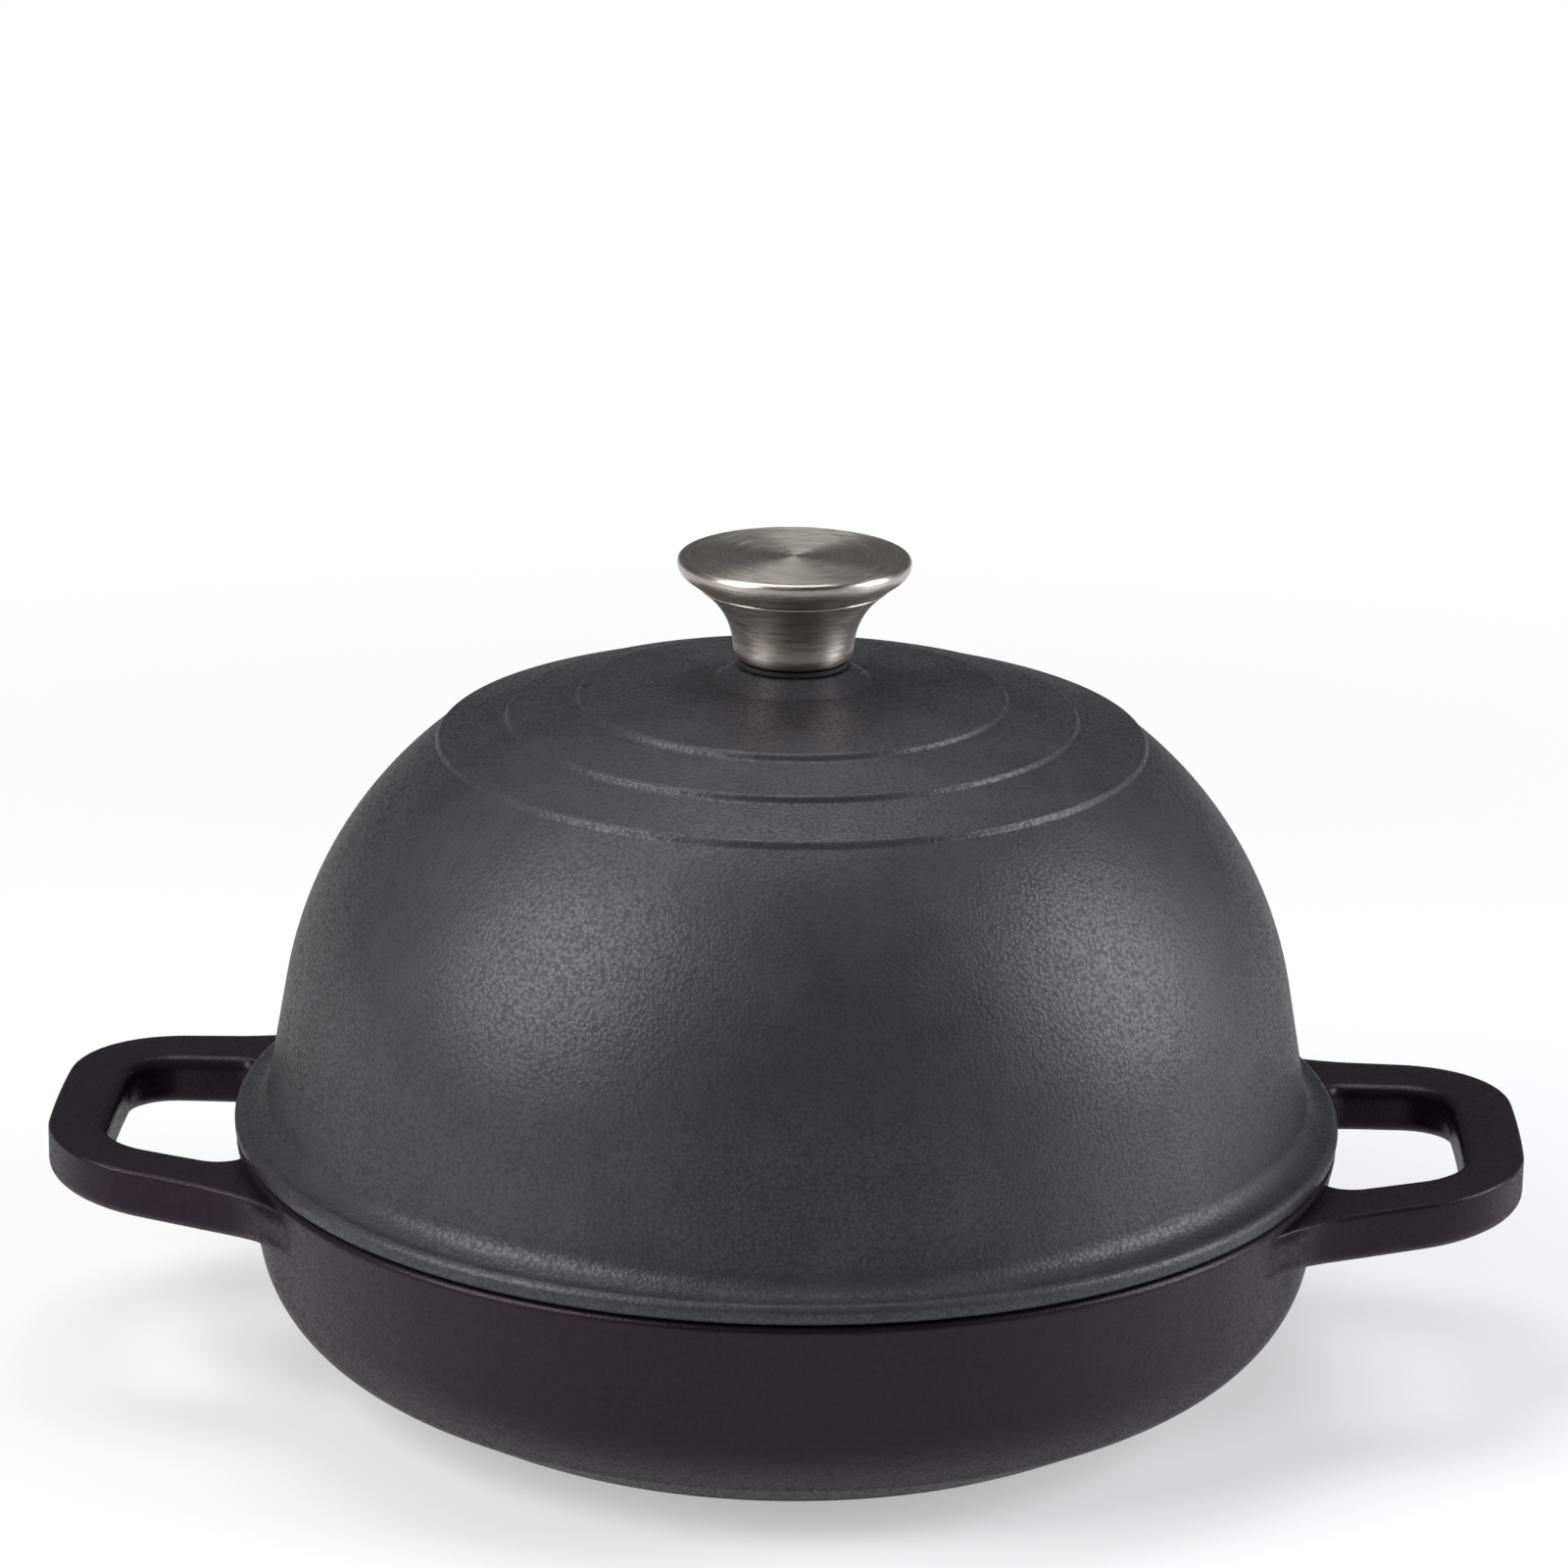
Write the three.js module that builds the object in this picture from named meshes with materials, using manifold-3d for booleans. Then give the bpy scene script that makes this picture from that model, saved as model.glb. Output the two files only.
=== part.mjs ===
// Enamelled cast-iron dutch oven for baking: a shallow base with two loop handles cast in one with it,
// and a tall domed lid with a brushed steel knob. Millimetres, +Z up, origin on the table under the base.
import * as THREE from 'three';
import { mergeVertices } from 'three/addons/utils/BufferGeometryUtils.js';
import Module from 'manifold-3d';

// Clearances
const SEAT_GAP = 0.3;
const SPIGOT_CLEARANCE = 0.6;

// Base casting
const RIM_RADIUS = 130;
const BASE_HEIGHT = 57;
const BASE_WALL = 5;
const RIM_EDGE_FILLET = 1.6;
const RIM_LIP_FILLET = 1.2;
const BELLY_INSET = 8.4;
const BELLY_HEIGHT = 16.5;
const BELLY_FILLET = 29;
const FLOOR_RADIUS = 94.7;
const FLOOR_BLEND = 45;
const FOOT_RADIUS = 93;
const FOOT_WIDTH = 9;
const FOOT_HEIGHT = 1;

// Loop handles
const HANDLE_REACH = 43.3;
const HANDLE_ROOT_HALF = 52.2;
const HANDLE_TIP_HALF = 41.1;
const HANDLE_CORNER = 35;
const HANDLE_FLARE = 8.5;
const HANDLE_FLARE_FILLET = 60;
const HANDLE_ARM = 16.5;
const HANDLE_BAR = 15;
const HANDLE_HOLE_CORNER = 17;
const HANDLE_WEB = 6;
const HANDLE_WEB_FILLET = 7;
const HANDLE_DROP = 1.8;
const HANDLE_RISE = 3.7;
const HANDLE_ROOT_DEPTH = 10.5;
const HANDLE_TIP_DEPTH = 8.7;
const HANDLE_EDGE = 2;
const HANDLE_EDGE_STEPS = 2;
const HANDLE_ANCHOR = 0.7;

// Lid casting, heights above the flange's top
const LID_WALL = 4.6;
const FLANGE_THICKNESS = 4.8;
const FLANGE_WIDTH = 7;
const FLANGE_EDGE_FILLET = 2;
const FLANGE_ROOT_FILLET = 6;
const SPIGOT_DEPTH = 3.5;
const SPIGOT_FILLET = 1;
const SHOULDER_INSET = 18.7;
const SHOULDER_HEIGHT = 66.2;
const SHOULDER_FILLET = 94;
const CROWN_HEIGHT = 88.4;
const CROWN_BLEND = 30;
const CROWN_CURVE = 300;
const STEP_RADII = [82, 66, 49.5];
const STEP_HEIGHT = 1.5;
const STEP_RUN = 0.6;
const STEP_FILLET = 1.2;
const BOSS_RADIUS = 13.4;
const BOSS_FLARE = 5;
const BOSS_HEIGHT = 3.2;
const BOSS_FILLET = 3;
const PAD_RADIUS = 12;

// Fused enamel inside both castings
const COAT = 0.5;
const COAT_LIP = 1;

// Knob, heights above its foot
const KNOB_FOOT_RADIUS = 13.8;
const KNOB_FOOT_FILLET = 3;
const KNOB_WAIST_RADIUS = 14.5;
const KNOB_WAIST_HEIGHT = 11.5;
const KNOB_WAIST_FILLET = 18;
const KNOB_SEAM_RADIUS = 23.8;
const KNOB_SEAM_HEIGHT = 19.5;
const KNOB_SHEET = 1.4;
const CAP_RADIUS = 27;
const CAP_THICKNESS = 4.7;
const CAP_EDGE_DROP = 2.6;
const CAP_TOP_FILLET = 2.2;
const CAP_UNDER_FILLET = 1.4;
const CAP_SHEET = 1.8;

// Knob fixings
const SCREW_RADIUS = 2.9;
const SCREW_HOLE = SCREW_RADIUS + SEAT_GAP;
const SCREW_HEAD_RADIUS = 5.5;
const SCREW_HEAD_HEIGHT = 3.6;
const SCREW_HEAD_FILLET = 1.6;
const SCREW_GRIP = 9;
const WASHER_RADIUS = 8.5;
const WASHER_THICKNESS = 1.2;
const GASKET_RADIUS = 12.6;
const GASKET_THICKNESS = 1;
const CORE_RADIUS = 6;
const CORE_FLANGE_RADIUS = 9;
const CORE_FLANGE_THICKNESS = 2;
const CORE_CROWN = 2.5;

// Facets
const WALL_SPANS = 3;
const CASTING_SIDES = 44;
const KNOB_SIDES = 32;
const FIXING_SIDES = 24;
const CHORD_ERROR = 0.4;
const WIDEST_STEP = Math.PI / 4;
const MERGE = 1e-4;

const wasm = await Module();
wasm.setup();

// Outlines

/** A corner of an outline: a place across and up, and the radius that rounds it. */
const corner = (x, y, fillet = 0) => ({ at: new THREE.Vector2(x, y), fillet });

/** The point at height y on the straight line through two corners. */
function atHeight(first, second, y) {
  const share = (y - first.at.y) / (second.at.y - first.at.y);
  return corner(THREE.MathUtils.lerp(first.at.x, second.at.x, share), y);
}

/** Where two straight lines, each a point and a direction, cross. */
function crossing(start, along, other, otherAlong) {
  const share = other.clone().sub(start).cross(otherAlong) / along.cross(otherAlong);
  return start.clone().addScaledVector(along, share);
}

/** An open outline moved to its left by a distance; each fillet keeps its centre. */
function inset(corners, distance) {
  const edges = corners.slice(1).map((end, i) => {
    const along = end.at.clone().sub(corners[i].at).normalize();
    const left = new THREE.Vector2(-along.y, along.x).multiplyScalar(distance);
    return { along, start: corners[i].at.clone().add(left), end: end.at.clone().add(left) };
  });
  return corners.map(({ at, fillet }, i) => {
    const before = edges[i - 1];
    const after = edges[i];
    if (!before || !after) return { at: before ? before.end : after.start, fillet };
    const place = crossing(before.start, before.along, after.start, after.along);
    const turn = Math.sign(before.along.cross(after.along));
    return { at: place, fillet: fillet && Math.max(fillet - turn * distance, 0) };
  });
}

/** Points along an outline whose corners are rounded by arcs, as far as the edges beside them allow. */
function rounded(corners, closed = false) {
  const count = corners.length;
  const places = corners.map(({ at }) => at);
  const arms = places.map((at, i) => {
    if (!closed && (i === 0 || i === count - 1)) return null;
    const back = places[(i + count - 1) % count].clone().sub(at);
    const on = places[(i + 1) % count].clone().sub(at);
    const half = Math.abs(back.angleTo(on)) / 2;
    return { back, on, half, reach: corners[i].fillet / Math.tan(half) };
  });
  const reachOf = (i) => arms[(i + count) % count]?.reach ?? 0;
  const points = [];
  arms.forEach((arm, i) => {
    if (!arm || arm.reach < MERGE) {
      points.push(places[i].clone());
      return;
    }
    const room = Math.min(
      arm.back.length() / (arm.reach + reachOf(i - 1)),
      arm.on.length() / (arm.reach + reachOf(i + 1)),
      1,
    );
    const reach = arm.reach * room * (1 - MERGE);
    const radius = reach * Math.tan(arm.half);
    const toCentre = arm.back.clone().normalize().add(arm.on.clone().normalize()).normalize();
    const centre = places[i].clone().addScaledVector(toCentre, radius / Math.sin(arm.half));
    const first = arm.back.clone().setLength(reach).add(places[i]).sub(centre);
    const sweep = Math.sign(arm.on.cross(arm.back)) * (Math.PI - 2 * arm.half);
    const step = Math.min(2 * Math.acos(1 - Math.min(CHORD_ERROR / radius, 1)), WIDEST_STEP);
    const steps = Math.ceil(Math.abs(sweep) / step);
    for (let k = 0; k <= steps; k += 1) {
      const spoke = first.clone().rotateAround(new THREE.Vector2(), (sweep * k) / steps);
      points.push(spoke.add(centre));
    }
  });
  return points;
}

// Solids

/** A closed mesh whose shared vertices are merged, without the flat slivers at an axis. */
function weld(geometry) {
  geometry.deleteAttribute('normal');
  geometry.deleteAttribute('uv');
  const merged = mergeVertices(geometry, MERGE);
  const kept = [];
  for (let i = 0; i < merged.index.count; i += 3) {
    const [a, b, c] = [0, 1, 2].map((k) => merged.index.getX(i + k));
    if (a !== b && b !== c && c !== a) kept.push(a, b, c);
  }
  merged.setIndex(kept);
  return merged;
}

/** A profile of radius and height, anticlockwise, turned once round the upright axis. */
function revolve(profile, sides) {
  const start = profile[0];
  const end = profile[profile.length - 1];
  const onAxis = start.x < MERGE && end.x < MERGE;
  const loop = onAxis ? profile : [...profile, start.clone()];
  return weld(new THREE.LatheGeometry(loop, sides).rotateX(Math.PI / 2));
}

/** Several overlapping solids made one. */
function fuse(geometries) {
  const solids = geometries.map((geometry) => new wasm.Manifold(new wasm.Mesh({
    numProp: 3,
    vertProperties: geometry.attributes.position.array,
    triVerts: new Uint32Array(geometry.index.array),
  })));
  const mesh = solids.reduce((whole, solid) => whole.add(solid)).getMesh();
  const geometry = new THREE.BufferGeometry();
  geometry.setAttribute('position', new THREE.BufferAttribute(mesh.vertProperties, 3));
  geometry.setIndex(new THREE.BufferAttribute(mesh.triVerts, 1));
  return geometry;
}

// Base

/** The bowl's outer skin from the middle of its floor to its rim, moved inwards by a depth. */
function bowl(depth) {
  const moved = inset([
    corner(0, FOOT_HEIGHT),
    corner(FLOOR_RADIUS, FOOT_HEIGHT, FLOOR_BLEND),
    corner(RIM_RADIUS - BELLY_INSET, BELLY_HEIGHT, BELLY_FILLET),
    corner(RIM_RADIUS, BASE_HEIGHT),
  ], depth);
  return [...moved.slice(0, 3), atHeight(moved[2], moved[3], BASE_HEIGHT)];
}

/** The radius of that skin's wall at a height. */
function bowlRadius(depth, height) {
  const [, , belly, rim] = bowl(depth);
  return atHeight(belly, rim, height).at.x;
}

/** The dish of the base, with the ground foot ring that it stands on. */
function dish() {
  const [middle, , belly, rim] = bowl(0);
  const [lip, ...inside] = bowl(BASE_WALL).reverse();
  return revolve(rounded([
    middle,
    corner(FOOT_RADIUS - FOOT_WIDTH, FOOT_HEIGHT),
    corner(FOOT_RADIUS - FOOT_WIDTH, 0),
    corner(FOOT_RADIUS, 0),
    corner(FOOT_RADIUS, FOOT_HEIGHT),
    corner(FLOOR_RADIUS, FOOT_HEIGHT),
    belly,
    { ...rim, fillet: RIM_EDGE_FILLET },
    { ...lip, fillet: RIM_LIP_FILLET },
    ...inside,
  ]), CASTING_SIDES);
}

/** The plan of the loop handle on the +X side: a U whose two ends flare into the wall of the dish. */
function handlePlan() {
  const wallHeight = BASE_HEIGHT - HANDLE_DROP - HANDLE_ROOT_DEPTH / 2;
  const anchor = bowlRadius(BASE_WALL * HANDLE_ANCHOR, wallHeight);
  const onWall = (y) => corner(Math.sqrt(anchor ** 2 - y ** 2), y);
  const root = corner(RIM_RADIUS, HANDLE_ROOT_HALF, HANDLE_FLARE_FILLET);
  const tip = corner(RIM_RADIUS + HANDLE_REACH, HANDLE_TIP_HALF, HANDLE_CORNER);
  const slope = (tip.at.y - root.at.y) / HANDLE_REACH;
  const armInside = (x) => root.at.y + slope * (x - root.at.x) - HANDLE_ARM * Math.hypot(1, slope);
  const barInside = tip.at.x - HANDLE_BAR;
  const web = corner(RIM_RADIUS, armInside(RIM_RADIUS), HANDLE_WEB_FILLET);
  const wallFrom = root.at.y + HANDLE_FLARE;
  const wallTo = web.at.y - HANDLE_WEB;
  const wallEnd = Array.from({ length: WALL_SPANS + 1 }, (_, i) => (
    onWall(THREE.MathUtils.lerp(wallFrom, wallTo, i / WALL_SPANS))
  ));
  const half = [tip, root, ...wallEnd, web, corner(barInside, armInside(barInside), HANDLE_HOLE_CORNER)];
  const otherHalf = half.map(({ at, fillet }) => corner(at.x, -at.y, fillet)).reverse();
  return new THREE.Shape(rounded([...half, ...otherHalf], true));
}

/** The handle's solid: its plan with rounded edges, thinner and rising towards the tip. */
function handle() {
  const bar = new THREE.ExtrudeGeometry(handlePlan(), {
    depth: HANDLE_ROOT_DEPTH - 2 * HANDLE_EDGE,
    bevelThickness: HANDLE_EDGE,
    bevelSize: HANDLE_EDGE,
    bevelOffset: -HANDLE_EDGE,
    bevelSegments: HANDLE_EDGE_STEPS,
  });
  bar.translate(0, 0, HANDLE_EDGE);
  const places = bar.attributes.position;
  for (let i = 0; i < places.count; i += 1) {
    const out = (places.getX(i) - RIM_RADIUS) / HANDLE_REACH;
    const depth = THREE.MathUtils.lerp(HANDLE_ROOT_DEPTH, HANDLE_TIP_DEPTH, out);
    const top = BASE_HEIGHT - HANDLE_DROP + HANDLE_RISE * out;
    places.setZ(i, top - (1 - places.getZ(i) / HANDLE_ROOT_DEPTH) * depth);
  }
  return weld(bar);
}

function basePan() {
  const right = handle();
  const left = right.clone().rotateZ(Math.PI);
  return fuse([dish(), right, left]);
}

/** The fused enamel coat over the whole inside of the dish, up to the lip. */
function baseLining() {
  const skin = (depth) => {
    const [middle, floor, belly, rim] = bowl(depth);
    return [middle, floor, belly, atHeight(belly, rim, BASE_HEIGHT - COAT_LIP)];
  };
  const back = BASE_WALL + SEAT_GAP;
  return revolve(rounded([...skin(back), ...skin(back + COAT).reverse()]), CASTING_SIDES);
}

// Lid

/** How far the crown's gentle curve rises from one radius in to a smaller one. */
function crownRise(from, to) {
  return Math.sqrt(CROWN_CURVE ** 2 - to ** 2) - Math.sqrt(CROWN_CURVE ** 2 - from ** 2);
}

/** The crown's raised steps, from the shoulder in: the toe and the edge of each, and the height reached. */
function crownSteps() {
  const toes = [];
  const edges = [];
  let height = CROWN_HEIGHT;
  STEP_RADII.forEach((radius, i) => {
    const nextToe = (STEP_RADII[i + 1] ?? BOSS_RADIUS + BOSS_FLARE) + STEP_RUN;
    toes.push(corner(radius + STEP_RUN, height, STEP_FILLET));
    edges.push(corner(radius, height + STEP_HEIGHT, STEP_FILLET));
    height += STEP_HEIGHT + crownRise(radius, nextToe);
  });
  return { toes, edges, height };
}

/** The lid's smooth inner skin at a depth from its outside, from a bottom height up to the screw hole. */
function domeInside(depth, bottom) {
  const { toes, height } = crownSteps();
  const moved = inset([
    corner(RIM_RADIUS - FLANGE_WIDTH, 0),
    corner(RIM_RADIUS - SHOULDER_INSET, SHOULDER_HEIGHT, SHOULDER_FILLET),
    { ...toes[0], fillet: CROWN_BLEND },
    { ...toes[toes.length - 1], fillet: CROWN_BLEND },
    corner(PAD_RADIUS, height),
    corner(SCREW_HOLE, height),
  ], depth);
  return [atHeight(moved[0], moved[1], bottom), ...moved.slice(1)];
}

/** The height of the pad inside the lid, under the boss, at a depth from the crown. */
function padHeight(depth) {
  return crownSteps().height - depth;
}

function bossTop() {
  return crownSteps().height + BOSS_HEIGHT;
}

function lidDome() {
  const { toes, edges, height } = crownSteps();
  const steps = toes.flatMap((toe, i) => [toe, edges[i]]);
  const spigotBottom = -FLANGE_THICKNESS - SPIGOT_DEPTH;
  const seat = BASE_HEIGHT + SEAT_GAP;
  const liningFace = bowlRadius(BASE_WALL + SEAT_GAP + COAT, seat - SPIGOT_DEPTH);
  const spigotRadius = liningFace - SPIGOT_CLEARANCE;
  const [spigotInside, ...inside] = domeInside(LID_WALL, spigotBottom);
  return revolve(rounded([
    corner(RIM_RADIUS, -FLANGE_THICKNESS, FLANGE_EDGE_FILLET),
    corner(RIM_RADIUS, 0, FLANGE_EDGE_FILLET),
    corner(RIM_RADIUS - FLANGE_WIDTH, 0, FLANGE_ROOT_FILLET),
    corner(RIM_RADIUS - SHOULDER_INSET, SHOULDER_HEIGHT, SHOULDER_FILLET),
    ...steps,
    corner(BOSS_RADIUS + BOSS_FLARE, height, BOSS_FILLET),
    corner(BOSS_RADIUS, bossTop()),
    corner(SCREW_HOLE, bossTop()),
    ...inside.reverse(),
    { ...spigotInside, fillet: SPIGOT_FILLET },
    corner(spigotRadius, spigotBottom, SPIGOT_FILLET),
    corner(spigotRadius, -FLANGE_THICKNESS),
  ], true), CASTING_SIDES);
}

/** The fused enamel coat inside the dome, from just above the spigot's edge to the screw hole. */
function lidLining() {
  const back = LID_WALL + SEAT_GAP;
  const bottom = COAT_LIP - FLANGE_THICKNESS - SPIGOT_DEPTH;
  const skin = [...domeInside(back, bottom), ...domeInside(back + COAT, bottom).reverse()];
  return revolve(rounded(skin, true), CASTING_SIDES);
}

// Knob

/** A flat ring. */
function ring(inner, outer, bottom, thickness) {
  const top = bottom + thickness;
  const section = [[inner, bottom], [outer, bottom], [outer, top], [inner, top]];
  return revolve(section.map(([x, y]) => new THREE.Vector2(x, y)), FIXING_SIDES);
}

/** The knob's flared sheet steel body, open at the top and pierced at the foot for the core. */
function knobBody() {
  const outside = [
    corner(CORE_RADIUS + SEAT_GAP, 0),
    corner(KNOB_FOOT_RADIUS, 0, KNOB_FOOT_FILLET),
    corner(KNOB_WAIST_RADIUS, KNOB_WAIST_HEIGHT, KNOB_WAIST_FILLET),
    corner(KNOB_SEAM_RADIUS, KNOB_SEAM_HEIGHT),
  ];
  const inside = inset(outside, KNOB_SHEET);
  const mouth = atHeight(inside[2], inside[3], KNOB_SEAM_HEIGHT);
  const profile = [...outside, mouth, ...inside.slice(0, 3).reverse()];
  return revolve(rounded(profile, true), KNOB_SIDES);
}

/** The pressed cap with a rolled edge that closes the knob. */
function knobCap() {
  const bottom = KNOB_SEAM_HEIGHT + SEAT_GAP;
  const top = bottom + CAP_THICKNESS;
  const hollow = KNOB_SEAM_RADIUS - CAP_SHEET;
  return revolve(rounded([
    corner(0, top - CAP_SHEET),
    corner(hollow, top - CAP_SHEET),
    corner(hollow, bottom),
    corner(KNOB_SEAM_RADIUS, bottom),
    corner(CAP_RADIUS, top - CAP_EDGE_DROP, CAP_UNDER_FILLET),
    corner(CAP_RADIUS, top, CAP_TOP_FILLET),
    corner(0, top),
  ]), KNOB_SIDES);
}

/** The threaded core: its flange presses the knob's foot down when the screw pulls it. */
function knobCore() {
  const boreTop = SCREW_GRIP + SEAT_GAP;
  const flangeBottom = KNOB_SHEET + SEAT_GAP;
  const flangeTop = flangeBottom + CORE_FLANGE_THICKNESS;
  return revolve(rounded([
    corner(0, boreTop),
    corner(SCREW_HOLE, boreTop),
    corner(SCREW_HOLE, 0),
    corner(CORE_RADIUS, 0),
    corner(CORE_RADIUS, flangeBottom),
    corner(CORE_FLANGE_RADIUS, flangeBottom),
    corner(CORE_FLANGE_RADIUS, flangeTop),
    corner(CORE_RADIUS, flangeTop),
    corner(CORE_RADIUS, boreTop + CORE_CROWN),
    corner(0, boreTop + CORE_CROWN),
  ]), FIXING_SIDES);
}

/** The screw, from its head inside the lid to its tip in the core. */
function knobScrew(headTop, tip) {
  return revolve(rounded([
    corner(0, headTop - SCREW_HEAD_HEIGHT),
    corner(SCREW_HEAD_RADIUS, headTop - SCREW_HEAD_HEIGHT, SCREW_HEAD_FILLET),
    corner(SCREW_HEAD_RADIUS, headTop),
    corner(SCREW_RADIUS, headTop),
    corner(SCREW_RADIUS, tip),
    corner(0, tip),
  ]), FIXING_SIDES);
}

// Finishes
const blackEnamel = new THREE.MeshStandardMaterial({ color: 0x2f2e30, roughness: 0.6, metalness: 0 });
const beigeEnamel = new THREE.MeshStandardMaterial({ color: 0xcbab98, roughness: 0.25, metalness: 0 });
const brushedSteel = new THREE.MeshStandardMaterial({ color: 0xa9a6a2, roughness: 0.35, metalness: 1 });
const zincSteel = new THREE.MeshStandardMaterial({ color: 0xb9bbbd, roughness: 0.4, metalness: 1 });
const silicone = new THREE.MeshStandardMaterial({ color: 0x1d1d1e, roughness: 0.8, metalness: 0 });

/** A named piece of the assembly. */
function piece(name, geometry, material) {
  geometry.computeVertexNormals();
  const mesh = new THREE.Mesh(geometry, material);
  mesh.name = name;
  return mesh;
}

// Assembly
const base = new THREE.Group();
base.add(piece('base_pan', basePan(), blackEnamel), piece('base_lining', baseLining(), beigeEnamel));

const gasketBottom = bossTop() + SEAT_GAP;
const knobFoot = gasketBottom + GASKET_THICKNESS + SEAT_GAP;
const washerTop = padHeight(LID_WALL + SEAT_GAP + COAT) - SEAT_GAP;
const washerBottom = washerTop - WASHER_THICKNESS;

const knob = new THREE.Group();
knob.position.z = knobFoot;
knob.add(
  piece('knob_body', knobBody(), brushedSteel),
  piece('knob_cap', knobCap(), brushedSteel),
  piece('knob_core', knobCore(), zincSteel),
);

const lid = new THREE.Group();
lid.position.z = BASE_HEIGHT + SEAT_GAP + FLANGE_THICKNESS;
lid.add(
  piece('lid_dome', lidDome(), blackEnamel),
  piece('lid_lining', lidLining(), beigeEnamel),
  piece('knob_gasket', ring(SCREW_HOLE, GASKET_RADIUS, gasketBottom, GASKET_THICKNESS), silicone),
  piece('screw_washer', ring(SCREW_HOLE, WASHER_RADIUS, washerBottom, WASHER_THICKNESS), zincSteel),
  piece('knob_screw', knobScrew(washerBottom - SEAT_GAP, knobFoot + SCREW_GRIP), zincSteel),
  knob,
);

const dutchOven = new THREE.Group();
dutchOven.add(base, lid);

export default dutchOven;
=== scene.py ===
"""Enamelled cast-iron dutch oven, dressed for a plain studio picture.

Every piece is a surface worked out with numpy in millimetres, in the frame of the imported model: a profile turned
round the upright axis, or a section carried along the loop of a handle. Blender gets the result in metres.
"""

from __future__ import annotations

import logging
import math
from dataclasses import dataclass, replace
from enum import Enum

import bpy
import numpy as np
from bpy.types import ID, Material, Mesh, Node, NodeSocket, NodeTree, Object
from mathutils import Matrix, Vector

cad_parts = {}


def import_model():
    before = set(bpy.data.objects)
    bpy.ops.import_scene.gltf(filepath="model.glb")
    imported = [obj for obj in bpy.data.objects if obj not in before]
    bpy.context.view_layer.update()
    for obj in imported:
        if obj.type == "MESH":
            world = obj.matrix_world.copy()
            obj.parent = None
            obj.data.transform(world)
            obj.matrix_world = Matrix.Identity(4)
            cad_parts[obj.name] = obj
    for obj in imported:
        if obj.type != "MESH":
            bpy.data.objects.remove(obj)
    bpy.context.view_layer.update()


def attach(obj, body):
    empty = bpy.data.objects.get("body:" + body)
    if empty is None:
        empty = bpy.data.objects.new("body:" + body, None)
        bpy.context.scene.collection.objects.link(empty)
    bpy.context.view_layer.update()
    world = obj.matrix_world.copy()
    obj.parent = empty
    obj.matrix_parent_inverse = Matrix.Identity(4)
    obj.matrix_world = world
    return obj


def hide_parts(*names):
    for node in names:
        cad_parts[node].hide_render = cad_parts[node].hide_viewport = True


LOG = logging.getLogger("dutch_oven")

# Shared values, with lengths in millimetres
METRES = 0.001
ON_AXIS = 1e-6
ARC_STEP = 1.2
FEWEST_ARC_STEPS = 8
EDGE_SHARE = 0.999
TURN_MAP = "turned"
WHITE = "#ffffff"


class Body(str, Enum):
    """The bodies of the model that pieces ride on."""

    BASE = "base"
    LID = "lid"


class Slot(str, Enum):
    """The record's material slots."""

    BLACK_ENAMEL = "black_enamel"
    CHARCOAL_ENAMEL = "charcoal_enamel"
    BEIGE_ENAMEL = "beige_enamel"
    BRUSHED_STEEL = "brushed_steel"
    ZINC_STEEL = "zinc_steel"
    SILICONE = "silicone"


class Side(Enum):
    """The two sides that a loop handle stands on, as the sign of its X."""

    RIGHT = 1
    LEFT = -1


# Outlines


@dataclass(frozen=True)
class Corner:
    """A corner of an outline in millimetres: a place across and up, and the fillet that rounds it."""

    x: float
    y: float
    fillet: float = 0.0


def at_height(first: Corner, second: Corner, height: float) -> Corner:
    """The point at a height on the straight line through two corners."""
    share = (height - first.y) / (second.y - first.y)
    return Corner(first.x + share * (second.x - first.x), height)


def lifted(corners: list[Corner], height: float) -> list[Corner]:
    """The same corners that much higher."""
    return [replace(corner, y=corner.y + height) for corner in corners]


def inset(corners: list[Corner], distance: float) -> list[Corner]:
    """An open outline moved to its left, with every fillet keeping its centre.

    Each edge moves along its left normal, inner corners go to the crossings of the moved edges, and a fillet's
    radius shrinks on a left turn and grows on a right turn by the distance.

    Args:
        corners: the outline in order.
        distance: how far it moves, in millimetres.

    Returns:
        The moved corners.
    """
    at = np.array([(c.x, c.y) for c in corners])
    along = np.diff(at, axis=0)
    along /= np.linalg.norm(along, axis=1)[:, None]
    left = np.stack([-along[:, 1], along[:, 0]], axis=1) * distance
    start = at[:-1] + left
    turn = along[:-1, 0] * along[1:, 1] - along[:-1, 1] * along[1:, 0]
    gap = start[1:] - start[:-1]
    share = (gap[:, 0] * along[1:, 1] - gap[:, 1] * along[1:, 0]) / turn
    middle = start[:-1] + share[:, None] * along[:-1]
    moved = np.vstack([start[:1], middle, at[-1:] + left[-1:]])
    fillets = [c.fillet for c in corners]
    fillets[1:-1] = [f and max(f - math.copysign(distance, t), 0.0) for f, t in zip(fillets[1:-1], turn)]
    return [Corner(x, y, f) for (x, y), f in zip(moved.tolist(), fillets)]


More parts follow.
